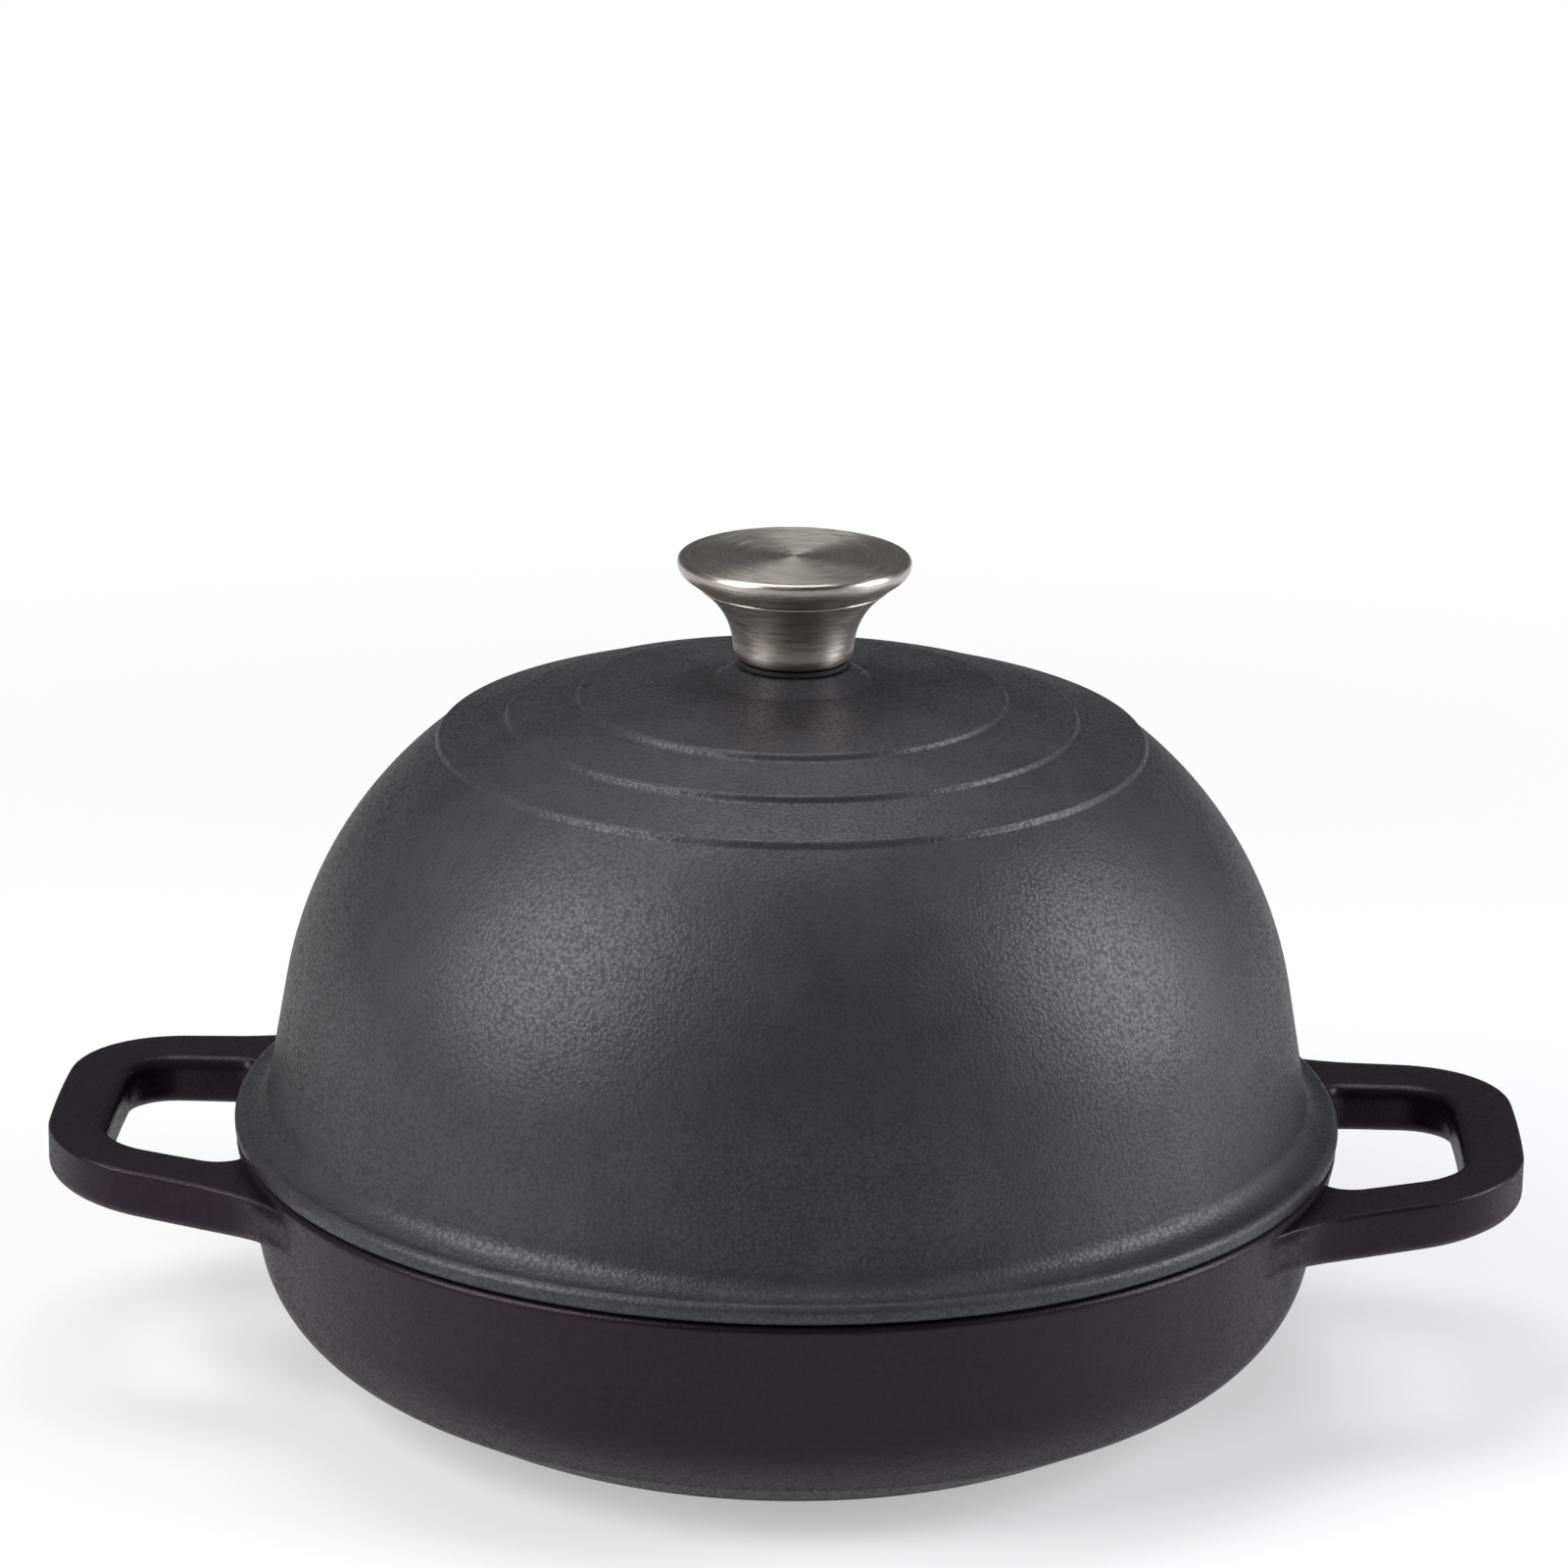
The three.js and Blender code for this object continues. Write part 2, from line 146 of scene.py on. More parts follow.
def rounded(corners: list[Corner], closed: bool, chord: float = ARC_STEP) -> np.ndarray:
    """Points along an outline whose corners are rounded by arcs.

    An arc touches both edges at the fillet over the tangent of half the corner's angle, or nearer where an edge is
    too short for both its arcs, and its points turn evenly about a centre on the corner's bisector.

    Args:
        corners: the outline in order.
        closed: whether the last corner joins the first.
        chord: the longest step along an arc, in millimetres; an arc has eight steps at least.

    Returns:
        An array of points, two numbers a row.
    """
    at = np.array([(c.x, c.y) for c in corners])
    back = np.roll(at, 1, axis=0) - at
    on = np.roll(at, -1, axis=0) - at
    back_length, on_length = np.linalg.norm(back, axis=1), np.linalg.norm(on, axis=1)
    back, on = back / back_length[:, None], on / on_length[:, None]
    half = np.arccos(np.clip((back * on).sum(axis=1), -1.0, 1.0)) / 2
    reach = np.array([c.fillet for c in corners]) / np.tan(half)
    if not closed:
        reach[[0, -1]] = 0.0
    wanted_back = reach + np.roll(reach, 1) + ON_AXIS
    wanted_on = reach + np.roll(reach, -1) + ON_AXIS
    reach *= np.minimum(1.0, np.minimum(back_length / wanted_back, on_length / wanted_on)) * EDGE_SHARE
    radius = reach * np.tan(half)
    bisector = back + on
    bisector /= np.maximum(np.linalg.norm(bisector, axis=1), ON_AXIS)[:, None]
    centre = at + bisector * (radius / np.sin(half))[:, None]
    spoke = at + back * reach[:, None] - centre
    sweep = np.sign(on[:, 0] * back[:, 1] - on[:, 1] * back[:, 0]) * (math.pi - 2 * half)
    start = np.arctan2(spoke[:, 1], spoke[:, 0])
    enough = np.maximum(np.ceil(np.abs(sweep) * radius / chord), FEWEST_ARC_STEPS)
    steps = np.where(reach > ON_AXIS, enough, 0).astype(int)
    owner = np.repeat(np.arange(len(at)), steps + 1)
    order = np.arange(len(owner)) - np.repeat(np.cumsum(steps + 1) - steps - 1, steps + 1)
    angle = start[owner] + sweep[owner] * order / np.maximum(steps[owner], 1)
    return centre[owner] + radius[owner, None] * np.stack([np.cos(angle), np.sin(angle)], axis=1)


def refined(points: np.ndarray, closed: bool, spacing: float, support: float = 0.15) -> np.ndarray:
    """An outline with points added along its straight stretches.

    A stretch is divided evenly into lengths no longer than the spacing. One that is longer than a step of an arc is
    straight, and gets one more point close to each of its ends, so that smooth shading stays flat along it.

    Args:
        points: the outline.
        closed: whether the last point joins the first.
        spacing: the longest stretch that is left, in millimetres.
        support: how far the extra points stand from the ends, in millimetres.

    Returns:
        The outline with its added points.
    """
    loop = np.vstack([points, points[:1]]) if closed else points
    gap = np.linalg.norm(np.diff(loop, axis=0), axis=1)
    along = np.concatenate([[0.0], np.cumsum(gap)])
    count = np.ceil(gap / spacing).astype(int)
    step = np.repeat(gap / np.maximum(count, 1), count)
    order = np.arange(count.sum()) - np.repeat(np.cumsum(count) - count, count)
    even = np.repeat(along[:-1], count) + step * order
    long = gap > ARC_STEP
    places = np.concatenate([even, along[:-1][long] + support, along[1:][long] - support, along[-1:]])
    places = np.unique(np.round(places, 6))
    places = places[:-1] if closed else places
    return np.stack([np.interp(places, along, column) for column in loop.T], axis=1)


# Surfaces


@dataclass
class Surface:
    """A mesh as arrays: places in millimetres, four- and three-cornered faces, and a map place per face corner.

    Where it flows out of another surface, lean holds that surface's normal for each place, and the share of it that
    the shading takes.
    """

    places: np.ndarray
    quads: np.ndarray
    triangles: np.ndarray
    turn_map: np.ndarray | None = None
    lean: np.ndarray | None = None

    def mesh(self, name: str) -> Mesh:
        """Puts the arrays into a smooth-shaded Blender mesh in metres.

        Args:
            name: the mesh's name.

        Returns:
            The new mesh.
        """
        mesh = bpy.data.meshes.new(name)
        mesh.from_pydata(self.places * METRES, [], self.quads.tolist() + self.triangles.tolist())
        mesh.polygons.foreach_set("use_smooth", np.ones(len(mesh.polygons), dtype=bool))
        if self.turn_map is not None:
            layer = mesh.uv_layers.new(name=TURN_MAP)
            layer.data.foreach_set("uv", self.turn_map.astype(np.float32).ravel())
        mesh.update()
        if self.lean is not None:
            own = np.empty(3 * len(mesh.vertices), dtype=np.float32)
            mesh.vertex_normals.foreach_get("vector", own)
            share = self.lean[:, 3:]
            mesh.normals_split_custom_set_from_vertices((1 - share) * own.reshape(-1, 3) + share * self.lean[:, :3])
        return mesh


def turned(profile: np.ndarray, sides: int) -> Surface:
    """A profile of radius and height turned once round the upright axis.

    A point at radius r, height z and turn t goes to (r cos t, r sin t, z). A point on the axis becomes one pole with
    a fan of triangles. The map holds the share of the turn and the length along the profile in metres.

    Args:
        profile: radius and height in millimetres, anticlockwise; a loop, or a line from the axis to the axis.
        sides: the number of faces round the axis.

    Returns:
        The closed surface with its faces outwards.
    """
    radius, height = profile.T
    pole = radius < ON_AXIS
    rows = len(profile)
    share = np.arange(sides) / sides
    turn = math.pi / 2 + 2 * math.pi * share
    flat = np.ones_like(turn)
    grid = np.stack([np.outer(radius, np.cos(turn)), np.outer(radius, np.sin(turn)), np.outer(height, flat)], axis=-1)
    number = np.arange(rows * sides).reshape(rows, sides)
    number = np.where(pole[:, None], number[:, :1], number)
    first = np.arange(rows - 1 if pole[0] and pole[-1] else rows)
    second = (first + 1) % rows
    beside = np.roll(number, -1, axis=1)
    faces = np.stack([number[first], beside[first], beside[second], number[second]], axis=-1)
    length = np.linalg.norm(profile[second] - profile[first], axis=1) * METRES
    low = np.concatenate([[0.0], np.cumsum(length)[:-1]])
    left, bottom = np.broadcast_arrays(share[None], low[:, None])
    right, top = np.broadcast_arrays(share[None] + 1 / sides, (low + length)[:, None])
    across = np.stack([left, right, right, left], axis=-1)
    up = np.stack([bottom, bottom, top, top], axis=-1)
    maps = np.stack([across, up], axis=-1)
    from_pole, to_pole = pole[first], pole[second]
    whole = ~(from_pole | to_pole)
    fans = [(faces[from_pole][..., [0, 2, 3]], maps[from_pole][..., [0, 2, 3], :]),
            (faces[to_pole][..., [0, 1, 2]], maps[to_pole][..., [0, 1, 2], :])]
    quads = faces[whole].reshape(-1, 4)
    triangles = np.concatenate([fan.reshape(-1, 3) for fan, _ in fans])
    used, fresh = np.unique(np.concatenate([quads.ravel(), triangles.ravel()]), return_inverse=True)
    turn_map = np.concatenate([maps[whole].reshape(-1, 2)] + [place.reshape(-1, 2) for _, place in fans])
    return Surface(grid.reshape(-1, 3)[used], fresh[:quads.size].reshape(-1, 4), fresh[quads.size:].reshape(-1, 3),
                   turn_map)


def lathe(corners: list[Corner], sides: int, spacing: float) -> Surface:
    """A rounded and refined outline turned round the upright axis.

    Args:
        corners: the outline's corners, anticlockwise; a loop, or a line from the axis to the axis.
        sides: the number of faces round the axis.
        spacing: the longest straight stretch along the profile, in millimetres.

    Returns:
        The turned surface.
    """
    closed = abs(corners[0].x) > ON_AXIS
    return turned(refined(rounded(corners, closed), closed, spacing), sides)


def carried(sections: np.ndarray) -> Surface:
    """A closed section carried along a path, with a flat face over each end.

    Args:
        sections: an array of stations by points by three, each section anticlockwise as seen from the path's start.

    Returns:
        The closed surface with its faces outwards.
    """
    stations, points, _ = sections.shape
    number = np.arange(stations * points).reshape(stations, points)
    beside = np.roll(number, -1, axis=1)
    quads = np.stack([number[:-1], beside[:-1], beside[1:], number[1:]], axis=-1).reshape(-1, 4)
    centres = sections[[0, -1]].mean(axis=1)
    middle = stations * points
    near = np.stack([beside[0], number[0], np.full(points, middle)], axis=-1)
    far = np.stack([number[-1], beside[-1], np.full(points, middle + 1)], axis=-1)
    return Surface(np.vstack([sections.reshape(-1, 3), centres]), quads, np.vstack([near, far]))


# Finishes


def linear(colour: str) -> tuple[float, float, float, float]:
    """A colour given as an sRGB hex value, as linear red, green, blue and alpha.

    Args:
        colour: six hex digits after a hash sign.

    Returns:
        The colour that Blender's sockets take.
    """
    channels = np.array([int(colour[i:i + 2], 16) for i in (1, 3, 5)]) / 255
    low, high = channels / 12.92, ((channels + 0.055) / 1.055) ** 2.4
    return (*np.where(channels <= 0.04045, low, high).tolist(), 1.0)


def add_node(tree: NodeTree, kind: str, sockets: dict | None = None, **settings: object) -> Node:
    """Adds a node with its settings, and fills or links its sockets.

    Args:
        tree: the node tree.
        kind: the node's type.
        sockets: for each input, by name or number, the output that feeds it or the value that it takes.
        settings: the node's own options.

    Returns:
        The new node.
    """
    node = tree.nodes.new(kind)
    for name, value in settings.items():
        setattr(node, name, value)
    for name, source in (sockets or {}).items():
        if isinstance(source, NodeSocket):
            tree.links.new(source, node.inputs[name])
        else:
            node.inputs[name].default_value = source
    return node


def per_metre(size_mm: float) -> float:
    """The texture scale that gives a pattern of that size in millimetres on Object coordinates."""
    return 1 / (size_mm * METRES)


def seen_ray(tree: NodeTree) -> NodeSocket:
    """One for rays that show what they meet, straight or in a mirror or glass, and nought for those that only light.

    Args:
        tree: the node tree.

    Returns:
        The output that gives it.
    """
    ray = add_node(tree, "ShaderNodeLightPath").outputs
    straight = add_node(tree, "ShaderNodeMath", {
        0: ray["Is Camera Ray"], 1: ray["Is Glossy Ray"]}, operation="MAXIMUM")
    seen = add_node(tree, "ShaderNodeMath", {
        0: straight.outputs[0], 1: ray["Is Transmission Ray"]}, operation="MAXIMUM")
    return seen.outputs[0]


@dataclass(frozen=True)
class Finish:
    """A finish named for its real material, with patterns that lie on Object coordinates."""

    name: str

    def shader(self, tree: NodeTree, place: NodeSocket) -> NodeSocket:
        """Adds the nodes that draw the finish.

        Args:
            tree: the material's node tree.
            place: the Object coordinates.

        Returns:
            The shader for the surface.
        """
        raise NotImplementedError

    def material(self) -> Material:
        """Makes a material of the finish.

        Returns:
            The new material.
        """
        material = bpy.data.materials.new(self.name)
        material.use_nodes = True
        tree = material.node_tree
        tree.nodes.clear()
        place = add_node(tree, "ShaderNodeTexCoord").outputs["Object"]
        add_node(tree, "ShaderNodeOutputMaterial", {"Surface": self.shader(tree, place)})
        return material


@dataclass(frozen=True)
class CastEnamel(Finish):
    """Matte vitreous enamel fired on sand-cast iron: dark, with the sand's grain still in it and a broad dull sheen.

    The grain hides part of itself at a glancing angle, so the shine falls to the edge shine there, between two shares
    of facing away. It is drawn a little coarser than the real one, so that it shows in the picture.
    """

    dark: str
    pale: str
    grain_mm: float
    grain_depth_mm: float
    wave_mm: float
    wave_depth_mm: float
    smooth: float
    rough: float
    shine: float
    edge_shine: float
    shine_tint: str
    mottle_mm: float = 16.0
    edge_from: float = 0.46
    edge_to: float = 0.84

    def shader(self, tree: NodeTree, place: NodeSocket) -> NodeSocket:
        """Draws pebbled grain and slow waves as bump, with a colour and a dullness that follow the grain.

        Args:
            tree: the material's node tree.
            place: the Object coordinates.

        Returns:
            The shader for the surface.
        """
        cell = add_node(tree, "ShaderNodeTexVoronoi", {"Vector": place, "Scale": per_metre(self.grain_mm)})
        fine = add_node(tree, "ShaderNodeTexNoise", {
            "Vector": place, "Scale": per_metre(self.grain_mm), "Detail": 2.0, "Roughness": 0.6})
        grain = add_node(tree, "ShaderNodeMath", {
            0: fine.outputs["Fac"], 1: cell.outputs["Distance"]}, operation="SUBTRACT")
        wave = add_node(tree, "ShaderNodeTexNoise", {
            "Vector": place, "Scale": per_metre(self.wave_mm), "Detail": 1.0})
        mottle = add_node(tree, "ShaderNodeTexNoise", {
            "Vector": place, "Scale": per_metre(self.mottle_mm), "Detail": 4.0, "Roughness": 0.65})
        shade = add_node(tree, "ShaderNodeMath", {
            0: grain.outputs[0], 1: mottle.outputs["Fac"]}, operation="ADD")
        spread = add_node(tree, "ShaderNodeMapRange", {
            "Value": shade.outputs[0], "From Min": 0.15, "From Max": 0.85})
        colour = add_node(tree, "ShaderNodeMix", {
            0: spread.outputs["Result"], 6: linear(self.dark), 7: linear(self.pale)}, data_type="RGBA")
        dullness = add_node(tree, "ShaderNodeMapRange", {
            "Value": grain.outputs[0], "From Min": 0.3, "From Max": -0.3,
            "To Min": self.smooth, "To Max": self.rough})
        waves = add_node(tree, "ShaderNodeBump", {
            "Height": wave.outputs["Fac"], "Distance": self.wave_depth_mm * METRES})
        bump = add_node(tree, "ShaderNodeBump", {
            "Height": grain.outputs[0], "Distance": self.grain_depth_mm * METRES, "Normal": waves.outputs["Normal"]})
        glance = add_node(tree, "ShaderNodeLayerWeight", {"Blend": 0.5})
        shine = add_node(tree, "ShaderNodeMapRange", {
            "Value": glance.outputs["Facing"], "From Min": self.edge_from, "From Max": self.edge_to,
            "To Min": self.shine, "To Max": self.edge_shine}, interpolation_type="SMOOTHSTEP")
        return add_node(tree, "ShaderNodeBsdfPrincipled", {
            "Base Color": colour.outputs[2], "Roughness": dullness.outputs["Result"],
            "Normal": bump.outputs["Normal"], "IOR": 1.5, "Specular IOR Level": shine.outputs["Result"],
            "Specular Tint": linear(self.shine_tint)}).outputs["BSDF"]


@dataclass(frozen=True)
class FusedEnamel(Finish):
    """Glossy beige enamel fused over the inside of the castings: smooth glass with a faint ripple and cloudy tint."""

    deep: str
    pale: str
    cloud_mm: float = 22.0
    ripple_mm: float = 6.0
    ripple_depth_mm: float = 0.012

    def shader(self, tree: NodeTree, place: NodeSocket) -> NodeSocket:
        """Draws a clouded colour, a ripple as bump, and a clear coat for the fused surface.

        Args:
            tree: the material's node tree.
            place: the Object coordinates.

        Returns:
            The shader for the surface.
        """
        cloud = add_node(tree, "ShaderNodeTexNoise", {
            "Vector": place, "Scale": per_metre(self.cloud_mm), "Detail": 3.0, "Roughness": 0.5})
        colour = add_node(tree, "ShaderNodeMix", {
            0: cloud.outputs["Fac"], 6: linear(self.deep), 7: linear(self.pale)}, data_type="RGBA")
        ripple = add_node(tree, "ShaderNodeTexNoise", {
            "Vector": place, "Scale": per_metre(self.ripple_mm), "Detail": 1.0})
        bump = add_node(tree, "ShaderNodeBump", {
            "Height": ripple.outputs["Fac"], "Distance": self.ripple_depth_mm * METRES})
        return add_node(tree, "ShaderNodeBsdfPrincipled", {
            "Base Color": colour.outputs[2], "Roughness": 0.28, "IOR": 1.52, "Coat Weight": 0.5,
            "Coat Roughness": 0.06, "Normal": bump.outputs["Normal"]}).outputs["BSDF"]


@dataclass(frozen=True)
class BrushedStainless(Finish):
    """Stainless steel brushed while it turns: fine rings round the axis that stretch every highlight across them.

    The rings are drawn a little wider than real brush lines, so that they show in the picture.
    """

    dark: str
    pale: str
    ring_mm: float = 0.3
    run_mm: float = 7.0
    ring_depth_mm: float = 0.006

    def shader(self, tree: NodeTree, place: NodeSocket) -> NodeSocket:
        """Draws streaks in colour, roughness and bump, and a highlight stretched across them.

        Args:
            tree: the material's node tree.
            place: the Object coordinates.

        Returns:
            The shader for the surface.
        """
        about = add_node(tree, "ShaderNodeSeparateXYZ", {0: place})
        turn = add_node(tree, "ShaderNodeSeparateXYZ", {
            0: add_node(tree, "ShaderNodeUVMap", uv_map=TURN_MAP).outputs["UV"]})
        along = add_node(tree, "ShaderNodeMath", {
            0: turn.outputs["Y"], 1: self.run_mm / self.ring_mm}, operation="MULTIPLY")
        rings = add_node(tree, "ShaderNodeCombineXYZ", {
            "X": about.outputs["X"], "Y": about.outputs["Y"], "Z": along.outputs[0]})
        streak = add_node(tree, "ShaderNodeTexNoise", {
            "Vector": rings.outputs["Vector"], "Scale": per_metre(self.run_mm), "Detail": 3.0, "Roughness": 0.7})
        spread = add_node(tree, "ShaderNodeMapRange", {
            "Value": streak.outputs["Fac"], "From Min": 0.3, "From Max": 0.7})
        colour = add_node(tree, "ShaderNodeMix", {
            0: spread.outputs["Result"], 6: linear(self.dark), 7: linear(self.pale)}, data_type="RGBA")
        dullness = add_node(tree, "ShaderNodeMapRange", {
            "Value": streak.outputs["Fac"], "From Min": 0.3, "From Max": 0.7, "To Min": 0.28, "To Max": 0.42})
        bump = add_node(tree, "ShaderNodeBump", {
            "Height": streak.outputs["Fac"], "Distance": self.ring_depth_mm * METRES})
        tangent = add_node(tree, "ShaderNodeTangent", direction_type="UV_MAP", uv_map=TURN_MAP)
        return add_node(tree, "ShaderNodeBsdfPrincipled", {
            "Base Color": colour.outputs[2], "Metallic": 1.0, "Roughness": dullness.outputs["Result"],
            "Anisotropic": 0.75, "Anisotropic Rotation": 0.25, "Tangent": tangent.outputs["Tangent"],
            "Normal": bump.outputs["Normal"]}).outputs["BSDF"]


@dataclass(frozen=True)
class ZincPlate(Finish):
    """Zinc-plated steel, rolled and tumbled: a bluish grey metal with a cloudy dull shine."""

    dark: str
    pale: str
    cloud_mm: float = 1.8

    def shader(self, tree: NodeTree, place: NodeSocket) -> NodeSocket:
        """Draws a cloudy colour and roughness on metal.

        Args:
            tree: the material's node tree.
            place: the Object coordinates.

        Returns:
            The shader for the surface.
        """
        cloud = add_node(tree, "ShaderNodeTexNoise", {
            "Vector": place, "Scale": per_metre(self.cloud_mm), "Detail": 4.0, "Roughness": 0.6})
        colour = add_node(tree, "ShaderNodeMix", {
            0: cloud.outputs["Fac"], 6: linear(self.dark), 7: linear(self.pale)}, data_type="RGBA")
        dullness = add_node(tree, "ShaderNodeMapRange", {
            "Value": cloud.outputs["Fac"], "To Min": 0.3, "To Max": 0.48})
        return add_node(tree, "ShaderNodeBsdfPrincipled", {
            "Base Color": colour.outputs[2], "Metallic": 1.0,
            "Roughness": dullness.outputs["Result"]}).outputs["BSDF"]


@dataclass(frozen=True)
class MouldedSilicone(Finish):
    """Heat-resistant silicone moulded in a blasted tool: nearly black, dull, with a fine even texture."""

    dark: str
    pale: str
    grain_mm: float = 0.35
    grain_depth_mm: float = 0.02

    def shader(self, tree: NodeTree, place: NodeSocket) -> NodeSocket:
        """Draws a fine grain in colour and bump.

        Args:
            tree: the material's node tree.
            place: the Object coordinates.

        Returns:
            The shader for the surface.
        """
        grain = add_node(tree, "ShaderNodeTexNoise", {
            "Vector": place, "Scale": per_metre(self.grain_mm), "Detail": 2.0})
        colour = add_node(tree, "ShaderNodeMix", {
            0: grain.outputs["Fac"], 6: linear(self.dark), 7: linear(self.pale)}, data_type="RGBA")
        bump = add_node(tree, "ShaderNodeBump", {
            "Height": grain.outputs["Fac"], "Distance": self.grain_depth_mm * METRES})
        return add_node(tree, "ShaderNodeBsdfPrincipled", {
            "Base Color": colour.outputs[2], "Roughness": 0.72, "IOR": 1.41,
            "Normal": bump.outputs["Normal"]}).outputs["BSDF"]


@dataclass(frozen=True)
class PaleFloor(Finish):
    """A pale matt studio floor that fades into the white round it."""

    colour: str
    white_share: float
    fade_from_mm: float
    fade_to_mm: float

    def shader(self, tree: NodeTree, place: NodeSocket) -> NodeSocket:
        """Draws it matt, partly white to the camera, and clear with the distance from the middle.

        Args:
            tree: the material's node tree.
            place: the Object coordinates.

        Returns:
            The shader for the surface.
        """
        distance = add_node(tree, "ShaderNodeVectorMath", {0: place}, operation="LENGTH")
        fade = add_node(tree, "ShaderNodeMapRange", {
            "Value": distance.outputs["Value"], "From Min": self.fade_from_mm * METRES,
            "From Max": self.fade_to_mm * METRES}, interpolation_type="SMOOTHSTEP")
        matt = add_node(tree, "ShaderNodeBsdfDiffuse", {"Color": linear(self.colour)})
        white = add_node(tree, "ShaderNodeEmission", {"Color": linear(WHITE)})
        seen = add_node(tree, "ShaderNodeMath", {0: seen_ray(tree), 1: self.white_share}, operation="MULTIPLY")
        ground = add_node(tree, "ShaderNodeMixShader", {
            0: seen.outputs[0], 1: matt.outputs["BSDF"], 2: white.outputs["Emission"]})
        clear = add_node(tree, "ShaderNodeBsdfTransparent")
        return add_node(tree, "ShaderNodeMixShader", {
            0: fade.outputs["Result"], 1: ground.outputs["Shader"], 2: clear.outputs["BSDF"]}).outputs["Shader"]


FINISHES: dict[Slot, Finish] = {
    Slot.BLACK_ENAMEL: CastEnamel(
        "satin_black_enamel_fired_on_cast_iron", "#171217", "#1f181f",
        grain_mm=0.9, grain_depth_mm=0.03, wave_mm=5.0, wave_depth_mm=0.03, smooth=0.25, rough=0.42, shine=0.22,
        edge_shine=0.02, shine_tint="#f4e4f3"),
    Slot.CHARCOAL_ENAMEL: CastEnamel(
        "matte_charcoal_enamel_fired_on_cast_iron", "#212022", "#373638",
        grain_mm=0.9, grain_depth_mm=0.065, wave_mm=7.0, wave_depth_mm=0.02, smooth=0.38, rough=0.56, shine=0.48,
        edge_shine=0.15, shine_tint="#fafaff"),
    Slot.BEIGE_ENAMEL: FusedEnamel("glossy_beige_fused_enamel", "#b69a8c", "#c4aa9c"),
    Slot.BRUSHED_STEEL: BrushedStainless("ring_brushed_stainless_steel", "#938e88", "#cdc8c1"),
    Slot.ZINC_STEEL: ZincPlate("zinc_plated_steel", "#a9adb0", "#c4c8cb"),
    Slot.SILICONE: MouldedSilicone("moulded_black_silicone", "#161617", "#212122"),
}


# Pieces


def in_scene(name: str, data: ID) -> Object:
    """Shows a mesh, a lamp or a camera in the scene.

    Args:
        name: the object's name.
        data: what it shows.

    Returns:
        The new object, at the origin.
    """
    shown = bpy.data.objects.new(name, data)
    bpy.context.scene.collection.objects.link(shown)
    return shown


@dataclass(frozen=True)
class Piece:
    """One piece of the object: its surface, the node that it stands for, and what it rides on."""

    name: str
    surface: Surface
    node: str
    body: Body
    slot: Slot

    def place(self, material: Material) -> None:
        """Puts the piece into the scene in its finish.

        Args:
            material: the finish of its slot.
        """
        mesh = self.surface.mesh(self.name)
        mesh.materials.append(material)
        piece = in_scene(self.name, mesh)
        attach(piece, self.body.value)
        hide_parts(self.node)
        LOG.info("%s: %d faces, rides on %s, stands for %s", self.name, len(mesh.polygons), self.body.value, self.node)


class SubAssembly:
    """A group of pieces that is built and dressed together."""

    def build(self) -> list[Piece]:
        """The sub-assembly's pieces."""
        raise NotImplementedError

    def dress(self, finishes: dict[Slot, Material]) -> None:
        """Builds the pieces and puts each into the scene in the finish of its slot.

        Args:
            finishes: the material of every slot.
        """
        for piece in self.build():
            piece.place(finishes[piece.slot])


